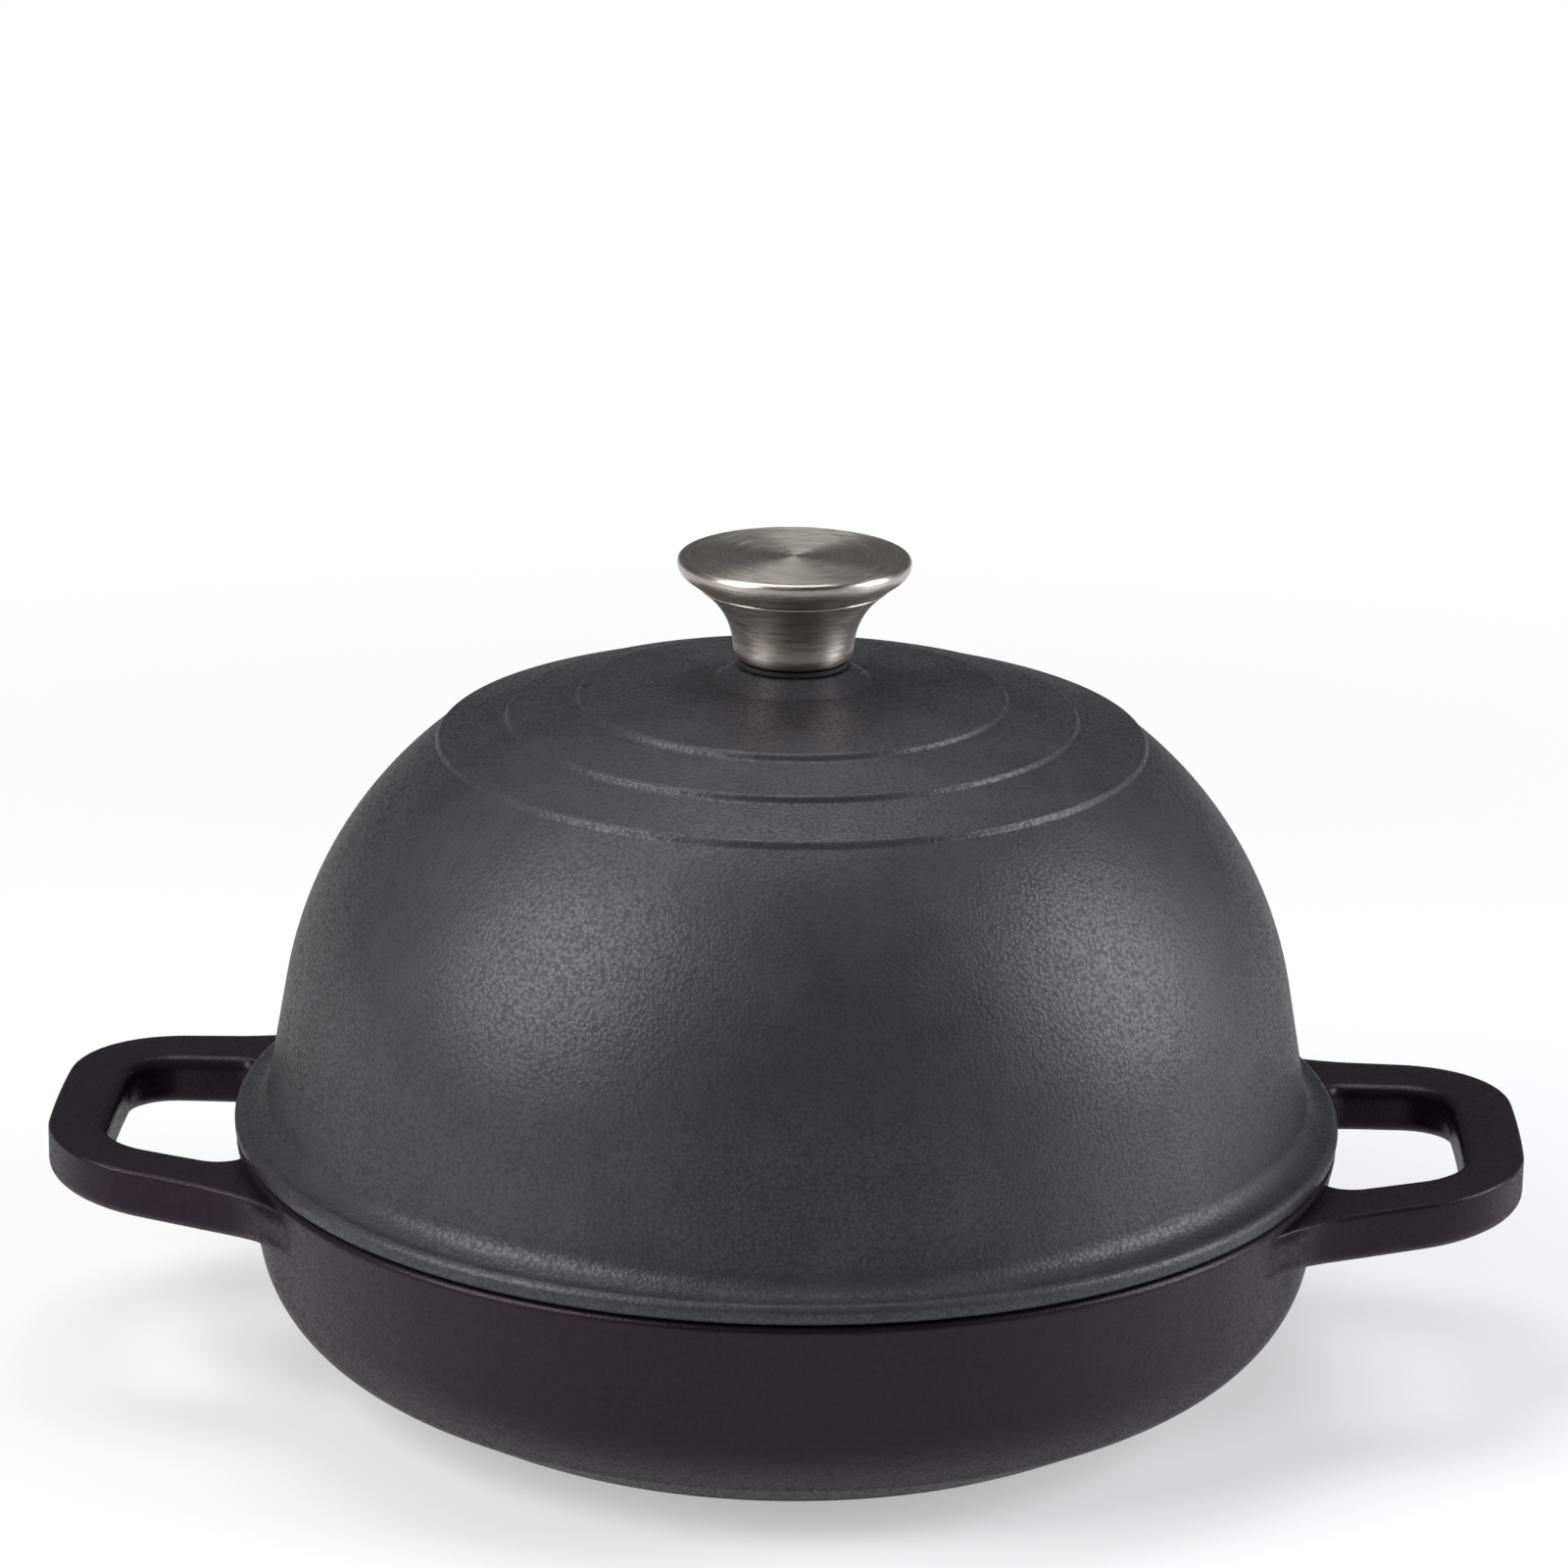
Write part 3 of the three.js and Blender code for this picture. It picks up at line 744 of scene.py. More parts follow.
@dataclass(frozen=True)
class Dish(SubAssembly):
    """The shallow base casting with its lining, in millimetres."""

    rim_radius: float = 130.0
    height: float = 57.0
    wall: float = 5.0
    rim_edge: float = 1.6
    rim_lip: float = 1.2
    belly_inset: float = 8.4
    belly_height: float = 16.5
    belly_fillet: float = 29.0
    floor_radius: float = 94.7
    floor_blend: float = 45.0
    foot_radius: float = 93.0
    foot_width: float = 9.0
    foot_height: float = 1.0
    foot_edge: float = 0.4
    coat_back: float = 5.05
    coat: float = 0.75
    coat_lip: float = 0.9
    coat_edge: float = 0.35
    sides: int = 288
    spacing: float = 5.0

    def skin(self, depth: float, top: float) -> list[Corner]:
        """The outer skin from the middle of the floor to a top height, moved inwards by a depth.

        Args:
            depth: how far inside the outer skin it lies.
            top: the height where it ends.

        Returns:
            Its four corners.
        """
        moved = inset([
            Corner(0.0, self.foot_height),
            Corner(self.floor_radius, self.foot_height, self.floor_blend),
            Corner(self.rim_radius - self.belly_inset, self.belly_height, self.belly_fillet),
            Corner(self.rim_radius, self.height),
        ], depth)
        return [*moved[:3], at_height(moved[2], moved[3], top)]

    @property
    def draft(self) -> float:
        """How far the outer wall leans out for each millimetre up."""
        return self.belly_inset / (self.height - self.belly_height)

    def wall_radius(self, height: np.ndarray) -> np.ndarray:
        """The outer wall's radius at a height: a straight line from the belly to the rim."""
        return self.rim_radius - self.draft * (self.height - height)

    def casting(self) -> Surface:
        """The dish: its outer skin with the foot ring, the flat rim, and its inner skin, turned round the axis.

        Returns:
            The casting's closed surface.
        """
        middle, floor, belly, rim = self.skin(0.0, self.height)
        lip, *inside = reversed(self.skin(self.wall, self.height))
        inner_foot = self.foot_radius - self.foot_width
        return lathe([
            middle,
            Corner(inner_foot, self.foot_height, self.foot_edge),
            Corner(inner_foot, 0.0, self.foot_edge),
            Corner(self.foot_radius, 0.0, self.foot_edge),
            Corner(self.foot_radius, self.foot_height, self.foot_edge),
            floor,
            belly,
            replace(rim, fillet=self.rim_edge),
            replace(lip, fillet=self.rim_lip),
            *inside,
        ], self.sides, self.spacing)

    def lining(self) -> Surface:
        """The fused coat: the inner skin at two depths with a rounded upper edge, turned round the axis.

        Returns:
            The coat's closed surface.
        """
        top = self.height - self.coat_lip
        *back, back_edge = self.skin(self.coat_back, top)
        *front, front_edge = self.skin(self.coat_back + self.coat, top)
        edges = [replace(corner, fillet=self.coat_edge) for corner in (back_edge, front_edge)]
        return lathe([*back, *edges, *reversed(front)], self.sides, self.spacing)

    def build(self) -> list[Piece]:
        """The casting and its lining."""
        return [
            Piece("base_dish", self.casting(), "base_pan", Body.BASE, Slot.BLACK_ENAMEL),
            Piece("base_enamel", self.lining(), "base_lining", Body.BASE, Slot.BEIGE_ENAMEL),
        ]


def eased(share: np.ndarray) -> np.ndarray:
    """A share held between nought and one, and eased at both: three of its squares less two of its cubes."""
    held = np.clip(share, 0.0, 1.0)
    return held * held * (3 - 2 * held)


@dataclass(frozen=True)
class Section:
    """A handle's section as arrays, one number a point.

    A point stands at a share across from the outer rail to the hole's, at an inset from each rail, at a share up
    from the underside to the top, and at an offset up from there.
    """

    across: np.ndarray
    outer: np.ndarray
    hole: np.ndarray
    up: np.ndarray
    offset: np.ndarray


@dataclass(frozen=True)
class LoopHandles(SubAssembly):
    """The two loop handles cast in one with the dish, in millimetres.

    A rail runs round the outside of the loop and another round its hole. Each starts and ends just inside the wall,
    runs along it for a little, and leaves it by a fillet, so that the handle flows out of the casting.
    """

    dish: Dish
    reach: float = 43.3
    root_half: float = 52.2
    tip_half: float = 41.1
    tip_corner: float = 33.0
    tip_bow: float = 1.6
    hole_bow: float = 0.7
    bow_fillet: float = 420.0
    flare: float = 8.5
    flare_fillet: float = 60.0
    flare_run: float = 16.0
    flare_blend: float = 45.0
    arm: float = 16.5
    bar: float = 14.4
    hole_corner: float = 14.0
    web_fillet: float = 6.5
    web_run: float = 12.0
    wall_corner: float = 0.2
    sunk: float = 0.9
    deepest: float = 1.0
    drop: float = 0.9
    rise: float = 3.3
    root_depth: float = 11.9
    tip_depth: float = 11.7
    outer_top: float = 1.1
    inner_top: float = 3.2
    inner_bottom: float = 2.8
    outer_bottom: float = 3.2
    crown: float = 0.25
    under_fillet: float = 6.0
    under_sunk: float = 1.6
    top_fillet: float = 0.3
    top_sunk: float = 0.6
    draft_run: float = 14.0
    shade_run: float = 9.0
    shade_drop: float = 0.5
    rail_step: float = 0.6
    stations: int = 241
    arc_steps: int = 7
    flat_steps: int = 8
    side_shares: tuple[float, ...] = (0.06, 0.5, 0.94)

    def on_wall(self, y: float, depth: float) -> tuple[float, float]:
        """The plan place on the rim's circle, that much deeper, at a distance from the middle of the handle."""
        radius = self.dish.rim_radius - depth
        return math.sqrt(radius ** 2 - y ** 2), y

    def rails(self) -> tuple[np.ndarray, np.ndarray]:
        """The outer rail and the hole's rail in plan, each from the +Y root round the tip to the -Y root.

        Both are straight lines rounded at their corners.

        Returns:
            Two arrays of plan places, one row a station.
        """
        rim, tip = self.dish.rim_radius, self.dish.rim_radius + self.reach
        slope = (self.tip_half - self.root_half) / self.reach
        inside = self.root_half - self.arm * math.hypot(1.0, slope)
        wall_y = self.root_half + self.flare
        outer = [
            Corner(*self.on_wall(wall_y + self.flare_run, self.sunk)),
            Corner(*self.on_wall(wall_y, self.wall_corner), self.flare_blend),
            Corner(rim, self.root_half, self.flare_fillet),
            Corner(tip - self.tip_bow, self.tip_half, self.tip_corner),
        ]
        bar = tip - self.bar
        hole = [
            Corner(*self.on_wall(inside - self.web_run, self.sunk)),
            Corner(*self.on_wall(inside, self.wall_corner), self.web_fillet),
            Corner(bar - self.hole_bow, inside + slope * (bar - rim), self.hole_corner),
        ]
        return self.rail(outer, tip), self.rail(hole, bar)

    def rail(self, half: list[Corner], reach: float) -> np.ndarray:
        """One rail with its mirrored half, at stations that face those of the other rail.

        Each half is cut at its wall corner and its tip corner, and the stations are shared out evenly to the pieces.

        Args:
            half: the corners from the +Y root to the tip; the second is the wall corner.
            reach: how far out the bowed middle of the tip stands.

        Returns:
            The stations' plan places.
        """
        middle = Corner(reach, 0.0, self.bow_fillet)
        mirrored = [replace(corner, y=-corner.y) for corner in reversed(half)]
        line = rounded([*half, middle, *mirrored], False, self.rail_step)
        along = np.concatenate([[0.0], np.cumsum(np.linalg.norm(np.diff(line, axis=0), axis=1))])
        knots = np.array([(corner.x, corner.y) for corner in (half[1], half[-1])])
        near = along[np.argmin(np.linalg.norm(line[None] - knots[:, None], axis=2), axis=1)]
        cuts = np.concatenate([[0.0], near, [along[-1] / 2], along[-1] - near[::-1], along[-1:]])
        order = np.arange(len(cuts))
        places = np.interp(np.linspace(0.0, order[-1], self.stations), order, cuts)
        return np.stack([np.interp(places, along, column) for column in line.T], axis=1)

    def section(self) -> Section:
        """The rounded section, from the foot of the outer side up, over, and back underneath.

        A rounded edge of radius a at angle p has inset a - a cos p and stands a - a sin p off its flat. The top is
        crowned by a parabola.

        Returns:
            The section's points.
        """
        rise = np.linspace(0.0, math.pi / 2, self.arc_steps + 1)
        fall = rise[::-1]
        flat = np.linspace(0.0, 1.0, self.flat_steps + 1)[1:-1]
        side = np.array(self.side_shares)

        def inset_of(radius: float, turn: np.ndarray) -> np.ndarray:
            """The inset of a rounded edge."""
            return radius - radius * np.cos(turn)

        def off_flat(radius: float, turn: np.ndarray) -> np.ndarray:
            """How far a rounded edge stands off its flat."""
            return radius - radius * np.sin(turn)

        outer_side = (1 - side) * self.outer_bottom - side * self.outer_top
        inner_side = (1 - side) * self.inner_bottom - side * self.inner_top
        runs = [
            (0.0, inset_of(self.outer_bottom, fall), 0.0, 0.0, off_flat(self.outer_bottom, fall)),
            (0.0, 0.0, 0.0, side, outer_side),
            (0.0, inset_of(self.outer_top, rise), 0.0, 1.0, -off_flat(self.outer_top, rise)),
            (flat, self.outer_top, self.inner_top, 1.0, 4 * self.crown * flat * (1 - flat)),
            (1.0, 0.0, inset_of(self.inner_top, fall), 1.0, -off_flat(self.inner_top, fall)),
            (1.0, 0.0, 0.0, side[::-1], inner_side[::-1]),
            (1.0, 0.0, inset_of(self.inner_bottom, rise), 0.0, off_flat(self.inner_bottom, rise)),
            (flat[::-1], self.outer_bottom, self.inner_bottom, 0.0, 0.0),
        ]
        return Section(*np.concatenate([np.stack(np.broadcast_arrays(*run)) for run in runs], axis=1))

    @staticmethod
    def beside(rail: np.ndarray, insets: np.ndarray) -> np.ndarray:
        """Places to the right of a rail, square to it.

        Args:
            rail: the rail's stations in plan.
            insets: the distances; those below nought lie to the left.

        Returns:
            An array of stations by distances by two.
        """
        along = np.gradient(rail, axis=0)
        along /= np.linalg.norm(along, axis=1)[:, None]
        right = np.stack([along[:, 1], -along[:, 0]], axis=1)
        return rail[:, None] + insets[None, :, None] * right[:, None]

    def plan(self, part: Section) -> np.ndarray:
        """The section carried along the two rails, in plan.

        A point is mixed from its places beside the two rails by its share across. One that would go too deep into
        the wall is moved out to a circle within it.

        Args:
            part: the section.

        Returns:
            An array of stations by points by two.
        """
        outer, hole = self.rails()
        across = part.across[None, :, None]
        plan = (1 - across) * self.beside(outer, part.outer) + across * self.beside(hole, -part.hole)
        inside = (self.dish.rim_radius - self.deepest) / np.linalg.norm(plan, axis=-1, keepdims=True)
        return plan * np.maximum(1.0, inside)

    def heights(self, plan: np.ndarray, clear: np.ndarray, part: Section) -> np.ndarray:
        """The heights of a handle's points.

        The top rises and the depth shrinks evenly towards the tip. Near the wall, the underside drops and the top
        lifts by a quarter circle.

        Args:
            plan: the points' places in plan.
            clear: how far they stand outside the rim's circle.
            part: the section.

        Returns:
            The heights above the table.
        """
        out = (plan[..., 0] - self.dish.rim_radius) / self.reach
        top = self.dish.height - self.drop + self.rise * out
        depth = self.root_depth + (self.tip_depth - self.root_depth) * out

        def fillet(radius: float, sunk: float) -> np.ndarray:
            """How far a quarter circle that ends that deep in the wall stands off its flat."""
            share = np.clip(1 - (clear + sunk) / radius, 0.0, 1.0)
            return radius * (1 - np.sqrt(1 - share ** 2))

        under = (1 - part.up) * (depth + fillet(self.under_fillet, self.under_sunk))
        return top - under + part.up * fillet(self.top_fillet, self.top_sunk) + part.offset

    def casting(self, side: Side) -> Surface:
        """One handle: the section carried along the two rails, then fitted to the wall.

        Near the wall, points move in with the wall's draft, and the shading of all but the top turns to the wall's.

        Args:
            side: the side that it stands on; the left one is turned half round the axis.

        Returns:
            The handle's closed surface.
        """
        part = self.section()
        plan = self.plan(part)
        radius = np.linalg.norm(plan, axis=-1)
        clear = radius - self.dish.rim_radius
        height = self.heights(plan, clear, part)
        spoke = plan / radius[..., None] * side.value
        lean = (self.dish.rim_radius - self.dish.wall_radius(height)) * eased(1 - clear / self.draft_run)
        surface = carried(np.concatenate([spoke * (radius - lean)[..., None], height[..., None]], axis=-1))
        draft = self.dish.draft
        wall = np.concatenate([spoke, np.full_like(height, -draft)[..., None]], axis=-1) / math.hypot(1.0, draft)
        below_top = np.clip((1 - part.up) + (part.offset < -self.shade_drop), 0.0, 1.0)
        share = eased(1 - clear / self.shade_run) * below_top
        ends = np.zeros((2, 4))
        surface.lean = np.vstack([np.concatenate([wall, share[..., None]], axis=-1).reshape(-1, 4), ends])
        return surface

    def build(self) -> list[Piece]:
        """The right and the left handle, which stand with the dish for the base casting."""
        return [
            Piece(f"base_handle_{side.name.lower()}", self.casting(side), "base_pan", Body.BASE, Slot.BLACK_ENAMEL)
            for side in Side
        ]


@dataclass(frozen=True)
class DomedLid(SubAssembly):
    """The tall lid casting with its lining, in millimetres; heights are above the flange's top."""

    dish: Dish
    seat_gap: float = 0.3
    wall: float = 4.6
    flange: float = 4.8
    flange_width: float = 7.0
    flange_edge: float = 2.0
    flange_root: float = 6.0
    spigot_radius: float = 122.8
    spigot_depth: float = 3.5
    spigot_edge: float = 1.0
    shoulder_inset: float = 18.7
    shoulder_height: float = 66.2
    shoulder_fillet: float = 94.0
    crown_height: float = 88.4
    crown_blend: float = 30.0
    crown_curve: float = 300.0
    step_radii: tuple[float, ...] = (82.0, 66.0, 49.5)
    step_height: float = 1.5
    step_run: float = 0.6
    step_fillet: float = 1.2
    boss_radius: float = 13.4
    boss_flare: float = 5.0
    boss_height: float = 3.2
    boss_fillet: float = 3.0
    boss_edge: float = 0.8
    pad_radius: float = 12.0
    screw_hole: float = 3.2
    coat_back: float = 4.65
    coat: float = 0.7
    coat_lip: float = 1.0
    sides: int = 288
    spacing: float = 5.0

    @property
    def foot(self) -> float:
        """The height of the flange's top above the table."""
        return self.dish.height + self.seat_gap + self.flange

    def crown_rise(self, start: float, end: float) -> float:
        """How far the crown's circle rises from one radius in to a smaller one."""
        return math.sqrt(self.crown_curve ** 2 - end ** 2) - math.sqrt(self.crown_curve ** 2 - start ** 2)

    def steps(self) -> tuple[list[Corner], list[Corner], float]:
        """The crown's raised steps, from the shoulder in; between them it follows a large circle.

        Returns:
            Their toes, their edges, and the height that the crown reaches at the boss.
        """
        toes, edges, height = [], [], self.crown_height
        for radius, inner in zip(self.step_radii, (*self.step_radii[1:], self.boss_radius + self.boss_flare)):
            toes.append(Corner(radius + self.step_run, height, self.step_fillet))
            edges.append(Corner(radius, height + self.step_height, self.step_fillet))
            height += self.step_height + self.crown_rise(radius, inner + self.step_run)
        return toes, edges, height

    @property
    def crown_top(self) -> float:
        """The height that the crown reaches at the boss."""
        return self.steps()[2]

    @property
    def boss_top(self) -> float:
        """The height of the flat that the knob's gasket sits on."""
        return self.crown_top + self.boss_height

    def inside(self, depth: float, bottom: float) -> list[Corner]:
        """The smooth inner skin at a depth, from a bottom height up to the screw hole.

        Args:
            depth: how far inside the outer skin it lies.
            bottom: the height where it starts.

        Returns:
            Its corners.
        """
        toes, _, height = self.steps()
        moved = inset([
            Corner(self.dish.rim_radius - self.flange_width, 0.0),
            Corner(self.dish.rim_radius - self.shoulder_inset, self.shoulder_height, self.shoulder_fillet),
            replace(toes[0], fillet=self.crown_blend),
            replace(toes[-1], fillet=self.crown_blend),
            Corner(self.pad_radius, height),
            Corner(self.screw_hole, height),
        ], depth)
        return [at_height(moved[0], moved[1], bottom), *moved[1:]]

    def casting(self) -> Surface:
        """The lid: flange, wall, stepped crown, boss, inner skin and spigot, turned round the axis.

        Returns:
            The casting's closed surface.
        """
        toes, edges, crown = self.steps()
        rim = self.dish.rim_radius
        bottom = -self.flange - self.spigot_depth
        entry, *inside = self.inside(self.wall, bottom)
        return lathe(lifted([
            Corner(rim, -self.flange, self.flange_edge),
            Corner(rim, 0.0, self.flange_edge),
            Corner(rim - self.flange_width, 0.0, self.flange_root),
            Corner(rim - self.shoulder_inset, self.shoulder_height, self.shoulder_fillet),
            *[corner for step in zip(toes, edges) for corner in step],
            Corner(self.boss_radius + self.boss_flare, crown, self.boss_fillet),
            Corner(self.boss_radius, self.boss_top, self.boss_edge),
            Corner(self.screw_hole, self.boss_top),
            *reversed(inside),
            replace(entry, fillet=self.spigot_edge),
            Corner(self.spigot_radius, bottom, self.spigot_edge),
            Corner(self.spigot_radius, -self.flange),
        ], self.foot), self.sides, self.spacing)

    def lining(self) -> Surface:
        """The fused coat in the dome: the inner skin at two depths, turned round the axis.

        Returns:
            The coat's closed surface.
        """
        bottom = self.coat_lip - self.flange - self.spigot_depth
        back = self.inside(self.coat_back, bottom)
        front = self.inside(self.coat_back + self.coat, bottom)
        return lathe(lifted([*back, *reversed(front)], self.foot), self.sides, self.spacing)

    def build(self) -> list[Piece]:
        """The casting and its lining."""
        return [
            Piece("lid_casting", self.casting(), "lid_dome", Body.LID, Slot.CHARCOAL_ENAMEL),
            Piece("lid_enamel", self.lining(), "lid_lining", Body.LID, Slot.BEIGE_ENAMEL),
        ]


@dataclass(frozen=True)
class FlaredKnob(SubAssembly):
    """The brushed steel knob on its gasket, with the core, screw and washer that hold it, in millimetres."""

    lid: DomedLid
    gap: float = 0.3
    foot_radius: float = 13.8
    foot_fillet: float = 3.0
    waist_radius: float = 14.5
    waist_height: float = 11.5
    waist_fillet: float = 18.0
    seam_radius: float = 22.6
    seam_height: float = 17.6
    sheet: float = 1.4
    cap_radius: float = 27.0
    cap_thickness: float = 6.6
    cap_edge_drop: float = 3.4
    cap_top_fillet: float = 1.3
    cap_under_fillet: float = 4.0
    cap_sheet: float = 1.8
    seam_edge: float = 0.35
    screw_radius: float = 2.9
    head_radius: float = 5.5
    head_height: float = 3.6
    head_fillet: float = 1.6
    grip: float = 9.0
    recess_width: float = 0.85
    recess_length: float = 2.7
    recess_depth: float = 1.7
    washer_radius: float = 8.5
    washer: float = 1.2
    gasket_radius: float = 12.6
    gasket: float = 1.0
    core_radius: float = 6.0
    core_flange_radius: float = 9.0
    core_flange: float = 2.0
    core_crown: float = 2.5
    edge: float = 0.2
    shank_edge: float = 0.5
    recess_soft: float = 0.25
    recess_taper: float = 0.5
    face_slack: float = 0.01
    lining: float = 0.8
    sides: int = 192
    spacing: float = 0.8
    fixing_sides: int = 96
    fixing_spacing: float = 1.5
    screw_spacing: float = 0.15

    @property
    def gasket_bottom(self) -> float:
        """The height of the gasket's underside above the table."""
        return self.lid.foot + self.lid.boss_top + self.gap

    @property
    def foot(self) -> float:
        """The height of the knob's foot above the table."""
        return self.gasket_bottom + self.gasket + self.gap

    @property
    def washer_bottom(self) -> float:
        """The height of the washer's underside above the table, clear of the lid's wall and lining."""
        pad = self.lid.crown_top - self.lid.wall - self.lining
        return self.lid.foot + pad - self.gap - self.washer

    def ring(self, outer: float, bottom: float, thickness: float) -> Surface:
        """A flat ring round the screw with broken edges, turned round the axis.

        Args:
            outer: its outer radius.
            bottom: its lower height.
            thickness: its thickness.

        Returns:
            The ring's closed surface.
        """
        inner, top = self.screw_radius + self.gap, bottom + thickness
        corners = [(inner, bottom), (outer, bottom), (outer, top), (inner, top)]
        return lathe([Corner(x, y, self.edge) for x, y in corners], self.fixing_sides, self.fixing_spacing)

    def body(self) -> Surface:
        """The flared sheet body: its outer skin and the same skin moved in by the sheet, turned round the axis.

        Returns:
            The body's closed surface.
        """
        outside = [
            Corner(self.core_radius + self.gap, 0.0),
            Corner(self.foot_radius, 0.0, self.foot_fillet),
            Corner(self.waist_radius, self.waist_height, self.waist_fillet),
            Corner(self.seam_radius, self.seam_height),
        ]
        moved = inset(outside, self.sheet)
        mouth = at_height(moved[2], moved[3], self.seam_height)
        rim = replace(outside[3], fillet=self.seam_edge)
        corners = [*outside[:3], rim, mouth, *reversed(moved[:3])]
        return lathe(lifted(corners, self.foot), self.sides, self.spacing)

    def cap(self) -> Surface:
        """The pressed cap: a flat top, a rolled edge, and a skirt that closes on the body, turned round the axis.

        Returns:
            The cap's closed surface.
        """
        bottom = self.seam_height + self.gap
        top = bottom + self.cap_thickness
        hollow = self.seam_radius - self.cap_sheet
        return lathe(lifted([
            Corner(0.0, top - self.cap_sheet),
            Corner(hollow, top - self.cap_sheet),
            Corner(hollow, bottom),
            Corner(self.seam_radius, bottom, self.seam_edge),
            Corner(self.cap_radius, top - self.cap_edge_drop, self.cap_under_fillet),
            Corner(self.cap_radius, top, self.cap_top_fillet),
            Corner(0.0, top),
        ], self.foot), self.sides, self.spacing)

    def core(self) -> Surface:
        """The threaded core with its flange on the inside of the knob's foot, turned round the axis.

        Returns:
            The core's closed surface.
        """
        bore = self.screw_radius + self.gap
        bore_top = self.grip + self.gap
        low = self.sheet + self.gap
        return lathe(lifted([
            Corner(0.0, bore_top),
            Corner(bore, bore_top),
            Corner(bore, 0.0),
            Corner(self.core_radius, 0.0, self.edge),
            Corner(self.core_radius, low),
            Corner(self.core_flange_radius, low, self.edge),
            Corner(self.core_flange_radius, low + self.core_flange, self.edge),
            Corner(self.core_radius, low + self.core_flange),
            Corner(self.core_radius, bore_top + self.core_crown, self.edge),
            Corner(0.0, bore_top + self.core_crown),
        ], self.foot), self.fixing_sides, self.fixing_spacing)

    def screw(self) -> Surface:
        """The screw: a turned head and shank, with a cross pressed up into the head.

        The cross is where a point lies within the width of one axis and the length along it, softened over a quarter
        of a millimetre, and it is shallower towards the ends of its arms.

        Returns:
            The screw's closed surface.
        """
        top = self.washer_bottom - self.gap
        bottom = top - self.head_height
        surface = lathe([
            Corner(0.0, bottom),
            Corner(self.head_radius, bottom, self.head_fillet),
            Corner(self.head_radius, top, self.edge),
            Corner(self.screw_radius, top),
            Corner(self.screw_radius, self.foot + self.grip, self.shank_edge),
            Corner(0.0, self.foot + self.grip),
        ], self.fixing_sides, self.screw_spacing)
        x, y = np.abs(surface.places[:, 0]), np.abs(surface.places[:, 1])

        def within(distance: np.ndarray, limit: float) -> np.ndarray:
            """One inside a limit and nought outside it, softened."""
            return np.clip((limit - distance) / self.recess_soft + 0.5, 0.0, 1.0)

        cross = np.maximum(within(x, self.recess_width) * within(y, self.recess_length),
                           within(y, self.recess_width) * within(x, self.recess_length))
        taper = 1 - self.recess_taper * np.hypot(x, y) / self.recess_length
        on_face = surface.places[:, 2] < bottom + self.face_slack
        surface.places[:, 2] += np.where(on_face, self.recess_depth * cross * taper, 0.0)
        return surface

    def build(self) -> list[Piece]:
        """The knob's body and cap, and what holds them on the lid.

        Returns:
            The knob's pieces.
        """
        gasket = self.ring(self.gasket_radius, self.gasket_bottom, self.gasket)
        washer = self.ring(self.washer_radius, self.washer_bottom, self.washer)
        return [
            Piece("knob_flare", self.body(), "knob_body", Body.LID, Slot.BRUSHED_STEEL),
            Piece("knob_top", self.cap(), "knob_cap", Body.LID, Slot.BRUSHED_STEEL),
            Piece("knob_thread_core", self.core(), "knob_core", Body.LID, Slot.ZINC_STEEL),
            Piece("knob_seal", gasket, "knob_gasket", Body.LID, Slot.SILICONE),
            Piece("knob_washer", washer, "screw_washer", Body.LID, Slot.ZINC_STEEL),
            Piece("knob_cross_screw", self.screw(), "knob_screw", Body.LID, Slot.ZINC_STEEL),
        ]


# Studio


@dataclass(frozen=True)
class Softbox:
    """A large soft lamp: its place and what it faces, and its size, all in millimetres, and its power in watts."""

    name: str
    place: tuple[float, float, float]
    faces: tuple[float, float, float]
    width: float
    height: float
    power: float
    colour: str = WHITE

    def hang(self) -> None:
        """Adds the lamp, turned to what it faces and hidden from the camera."""
        light = bpy.data.lights.new(self.name, "AREA")
        light.shape = "RECTANGLE"
        light.size, light.size_y = self.width * METRES, self.height * METRES
        light.energy = self.power
        light.color = linear(self.colour)[:3]
        lamp = in_scene(self.name, light)
        place, target = Vector(self.place) * METRES, Vector(self.faces) * METRES
        turn = (target - place).to_track_quat("-Z", "Y").to_matrix().to_4x4()
        lamp.matrix_world = Matrix.Translation(place) @ turn
        lamp.visible_camera = False


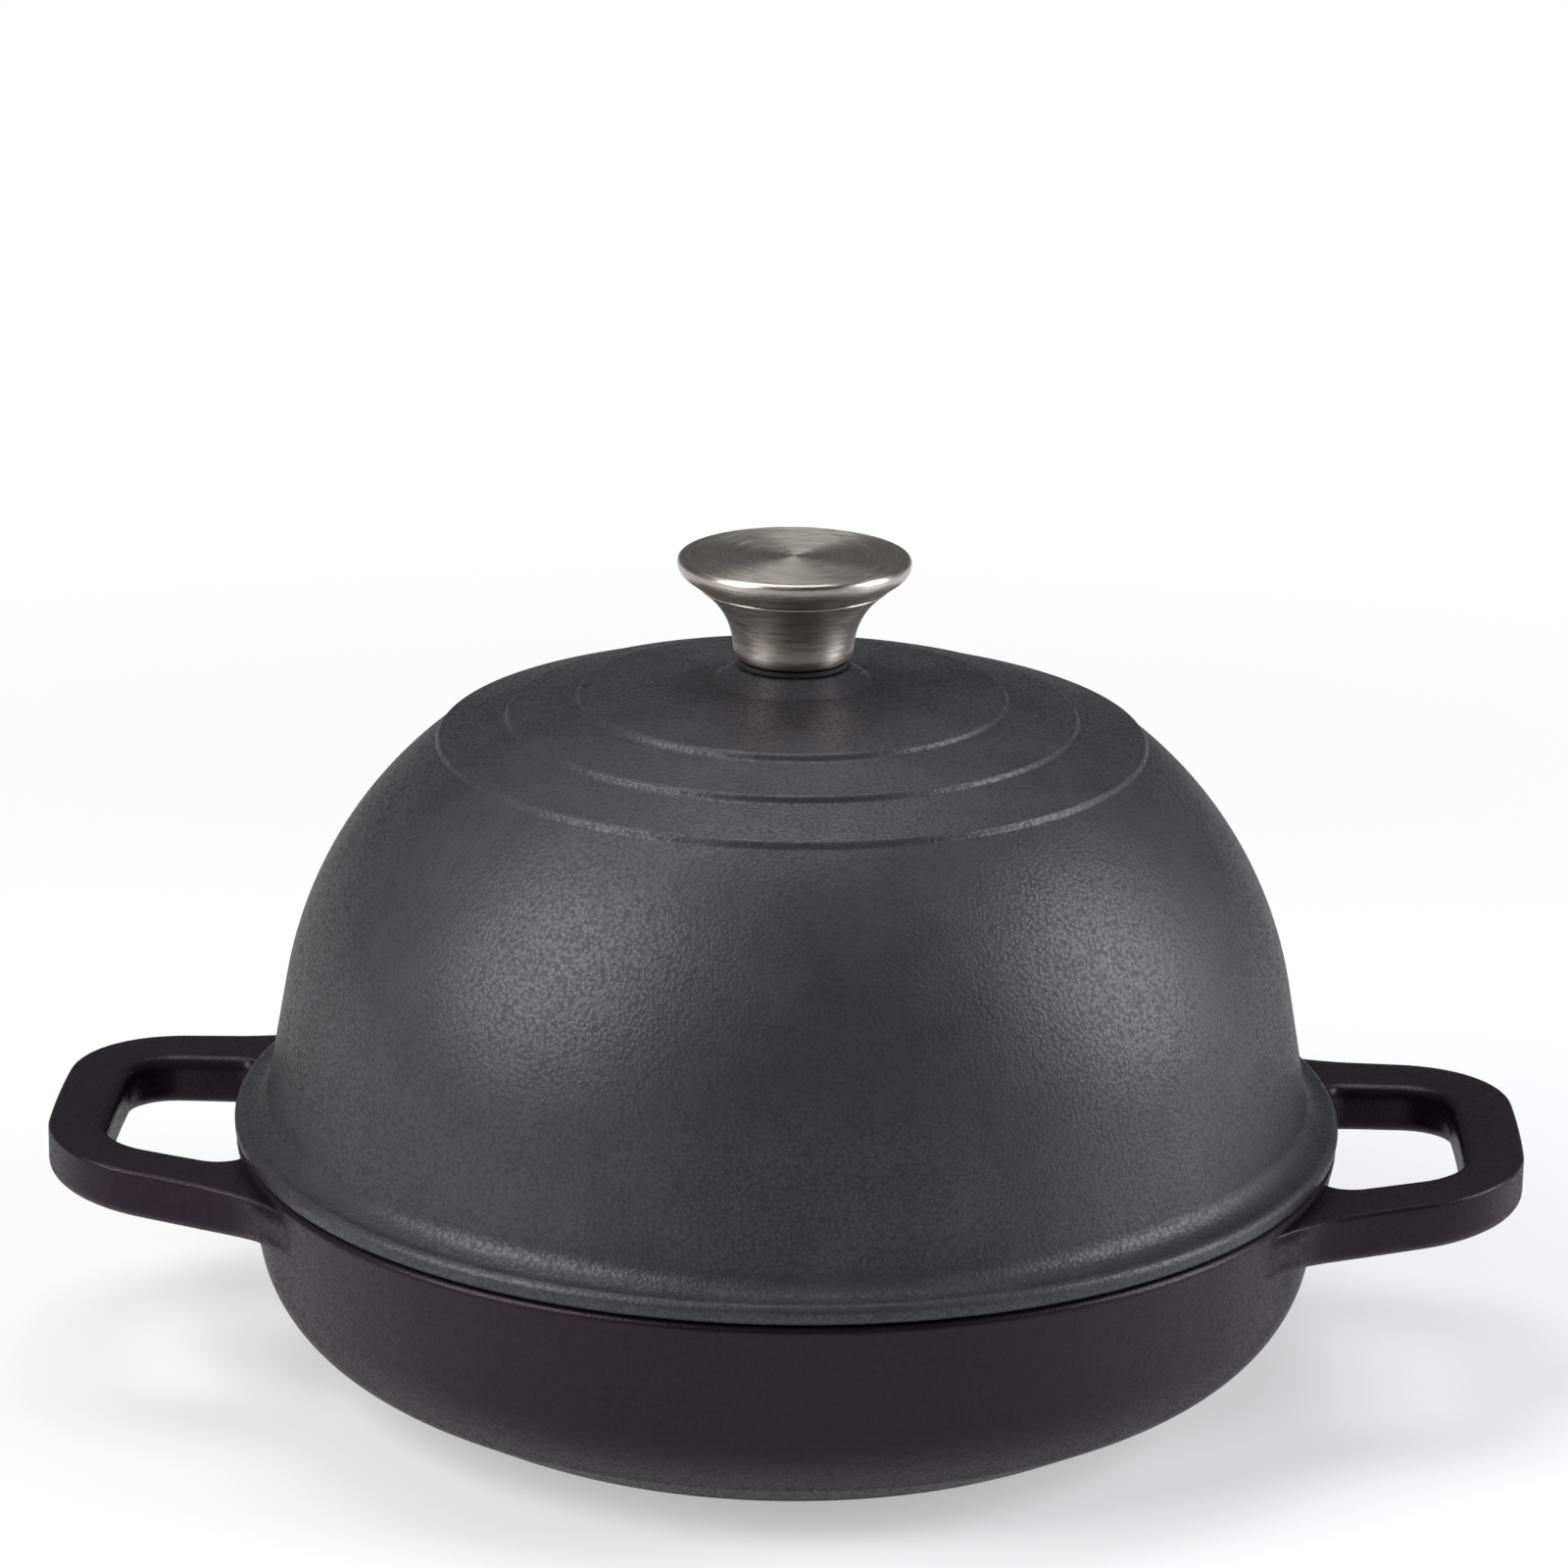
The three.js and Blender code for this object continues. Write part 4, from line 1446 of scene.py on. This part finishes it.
@dataclass(frozen=True)
class Studio:
    """The pale floor, the white surround and the soft lamps, in millimetres.

    The room's colours and the horizon turn from one to the other between two directions, given as the Y and the Z of
    a unit vector.
    """

    floor: PaleFloor = PaleFloor("pale_matt_studio_floor", "#efeff1", 0.45, 260.0, 760.0)
    floor_half: float = 1500.0
    ambient: float = 0.5
    room_front: str = "#303032"
    room_back: str = "#6a6a6c"
    room_from: float = -0.55
    room_to: float = 0.65
    horizon_from: float = 0.05
    horizon_to: float = -0.1
    lamps: tuple[Softbox, ...] = (
        Softbox("softbox_left", (-900, -480, 820), (0, 0, 90), 700, 1000, 17.0, "#fffdfb"),
        Softbox("softbox_right", (1100, -60, 560), (0, 0, 90), 600, 900, 14.0, "#fbfbff"),
        Softbox("softbox_above", (-150, 350, 1400), (0, 0, 90), 900, 700, 9.0),
    )

    def lay_floor(self) -> None:
        """Adds the floor as one flat face under the object."""
        half = self.floor_half * METRES
        mesh = bpy.data.meshes.new("studio_floor")
        corners = [(-half, -half, 0), (half, -half, 0), (half, half, 0), (-half, half, 0)]
        mesh.from_pydata(corners, [], [(0, 1, 2, 3)])
        mesh.materials.append(self.floor.material())
        floor = in_scene("studio_floor", mesh)

    def light_world(self) -> None:
        """Makes the world white to the camera and below the horizon, with a dim room above, darker in front."""
        world = bpy.data.worlds.new("studio_world")
        bpy.context.scene.world = world
        world.use_nodes = True
        tree = world.node_tree
        tree.nodes.clear()
        look = add_node(tree, "ShaderNodeTexCoord").outputs["Generated"]
        towards = add_node(tree, "ShaderNodeSeparateXYZ", {0: look})
        behind = add_node(tree, "ShaderNodeMapRange", {
            "Value": towards.outputs["Y"], "From Min": self.room_from, "From Max": self.room_to},
            interpolation_type="SMOOTHSTEP")
        below = add_node(tree, "ShaderNodeMapRange", {
            "Value": towards.outputs["Z"], "From Min": self.horizon_from, "From Max": self.horizon_to},
            interpolation_type="SMOOTHSTEP")
        above = add_node(tree, "ShaderNodeMix", {
            0: behind.outputs["Result"], 6: linear(self.room_front), 7: linear(self.room_back)}, data_type="RGBA")
        room = add_node(tree, "ShaderNodeMix", {
            0: below.outputs["Result"], 6: above.outputs[2], 7: linear(WHITE)}, data_type="RGBA")
        level = add_node(tree, "ShaderNodeMix", {0: seen_ray(tree), 2: self.ambient, 3: 1.0})
        soft = add_node(tree, "ShaderNodeBackground", {"Color": room.outputs[2], "Strength": level.outputs[0]})
        white = add_node(tree, "ShaderNodeBackground", {"Color": linear(WHITE)})
        straight = add_node(tree, "ShaderNodeLightPath").outputs["Is Camera Ray"]
        mixed = add_node(tree, "ShaderNodeMixShader", {
            0: straight, 1: soft.outputs["Background"], 2: white.outputs["Background"]})
        add_node(tree, "ShaderNodeOutputWorld", {"Surface": mixed.outputs["Shader"]})

    def set_up(self) -> None:
        """Adds the floor, the world and the lamps, and shows colours as they are written."""
        self.lay_floor()
        self.light_world()
        for lamp in self.lamps:
            lamp.hang()
        bpy.context.scene.view_settings.view_transform = "Standard"
        LOG.info("studio: floor, world and %d lamps", len(self.lamps))


@dataclass(frozen=True)
class PhotoCamera:
    """The camera at the photograph's view, in millimetres, fitted to the rim's ellipse and the handles."""

    lens: float = 135.0
    sensor: float = 36.0
    place: tuple[float, float, float] = (-1.7, -1306.5, 544.6)
    forward: tuple[float, float, float] = (0.0, 0.9552, -0.2959)
    roll_degrees: float = 0.84
    turn_degrees: float = 1.6
    nearest: float = 50.0
    farthest: float = 50000.0

    def set_up(self) -> None:
        """Adds the camera: level and square to its view, rolled, then carried round the upright axis."""
        data = bpy.data.cameras.new("photo_camera")
        data.lens, data.sensor_width, data.sensor_fit = self.lens, self.sensor, "HORIZONTAL"
        data.clip_start, data.clip_end = self.nearest * METRES, self.farthest * METRES
        forward = Vector(self.forward).normalized()
        level = Vector((1, 0, 0))
        roll = math.radians(self.roll_degrees)
        right = level * math.cos(roll) + level.cross(forward) * math.sin(roll)
        axes = Matrix((right, right.cross(forward), -forward)).transposed()
        camera = in_scene("photo_camera", data)
        carry = Matrix.Rotation(math.radians(self.turn_degrees), 4, "Z")
        camera.matrix_world = carry @ Matrix.Translation(Vector(self.place) * METRES) @ axes.to_4x4()
        bpy.context.scene.camera = camera


def main() -> None:
    """Loads the frame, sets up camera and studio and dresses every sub-assembly."""
    logging.basicConfig(level=logging.INFO, format="%(name)s %(message)s")
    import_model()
    PhotoCamera().set_up()
    Studio().set_up()
    finishes = {slot: finish.material() for slot, finish in FINISHES.items()}
    dish = Dish()
    lid = DomedLid(dish)
    for group in (dish, LoopHandles(dish), lid, FlaredKnob(lid)):
        group.dress(finishes)


if __name__ == "__main__":
    main()
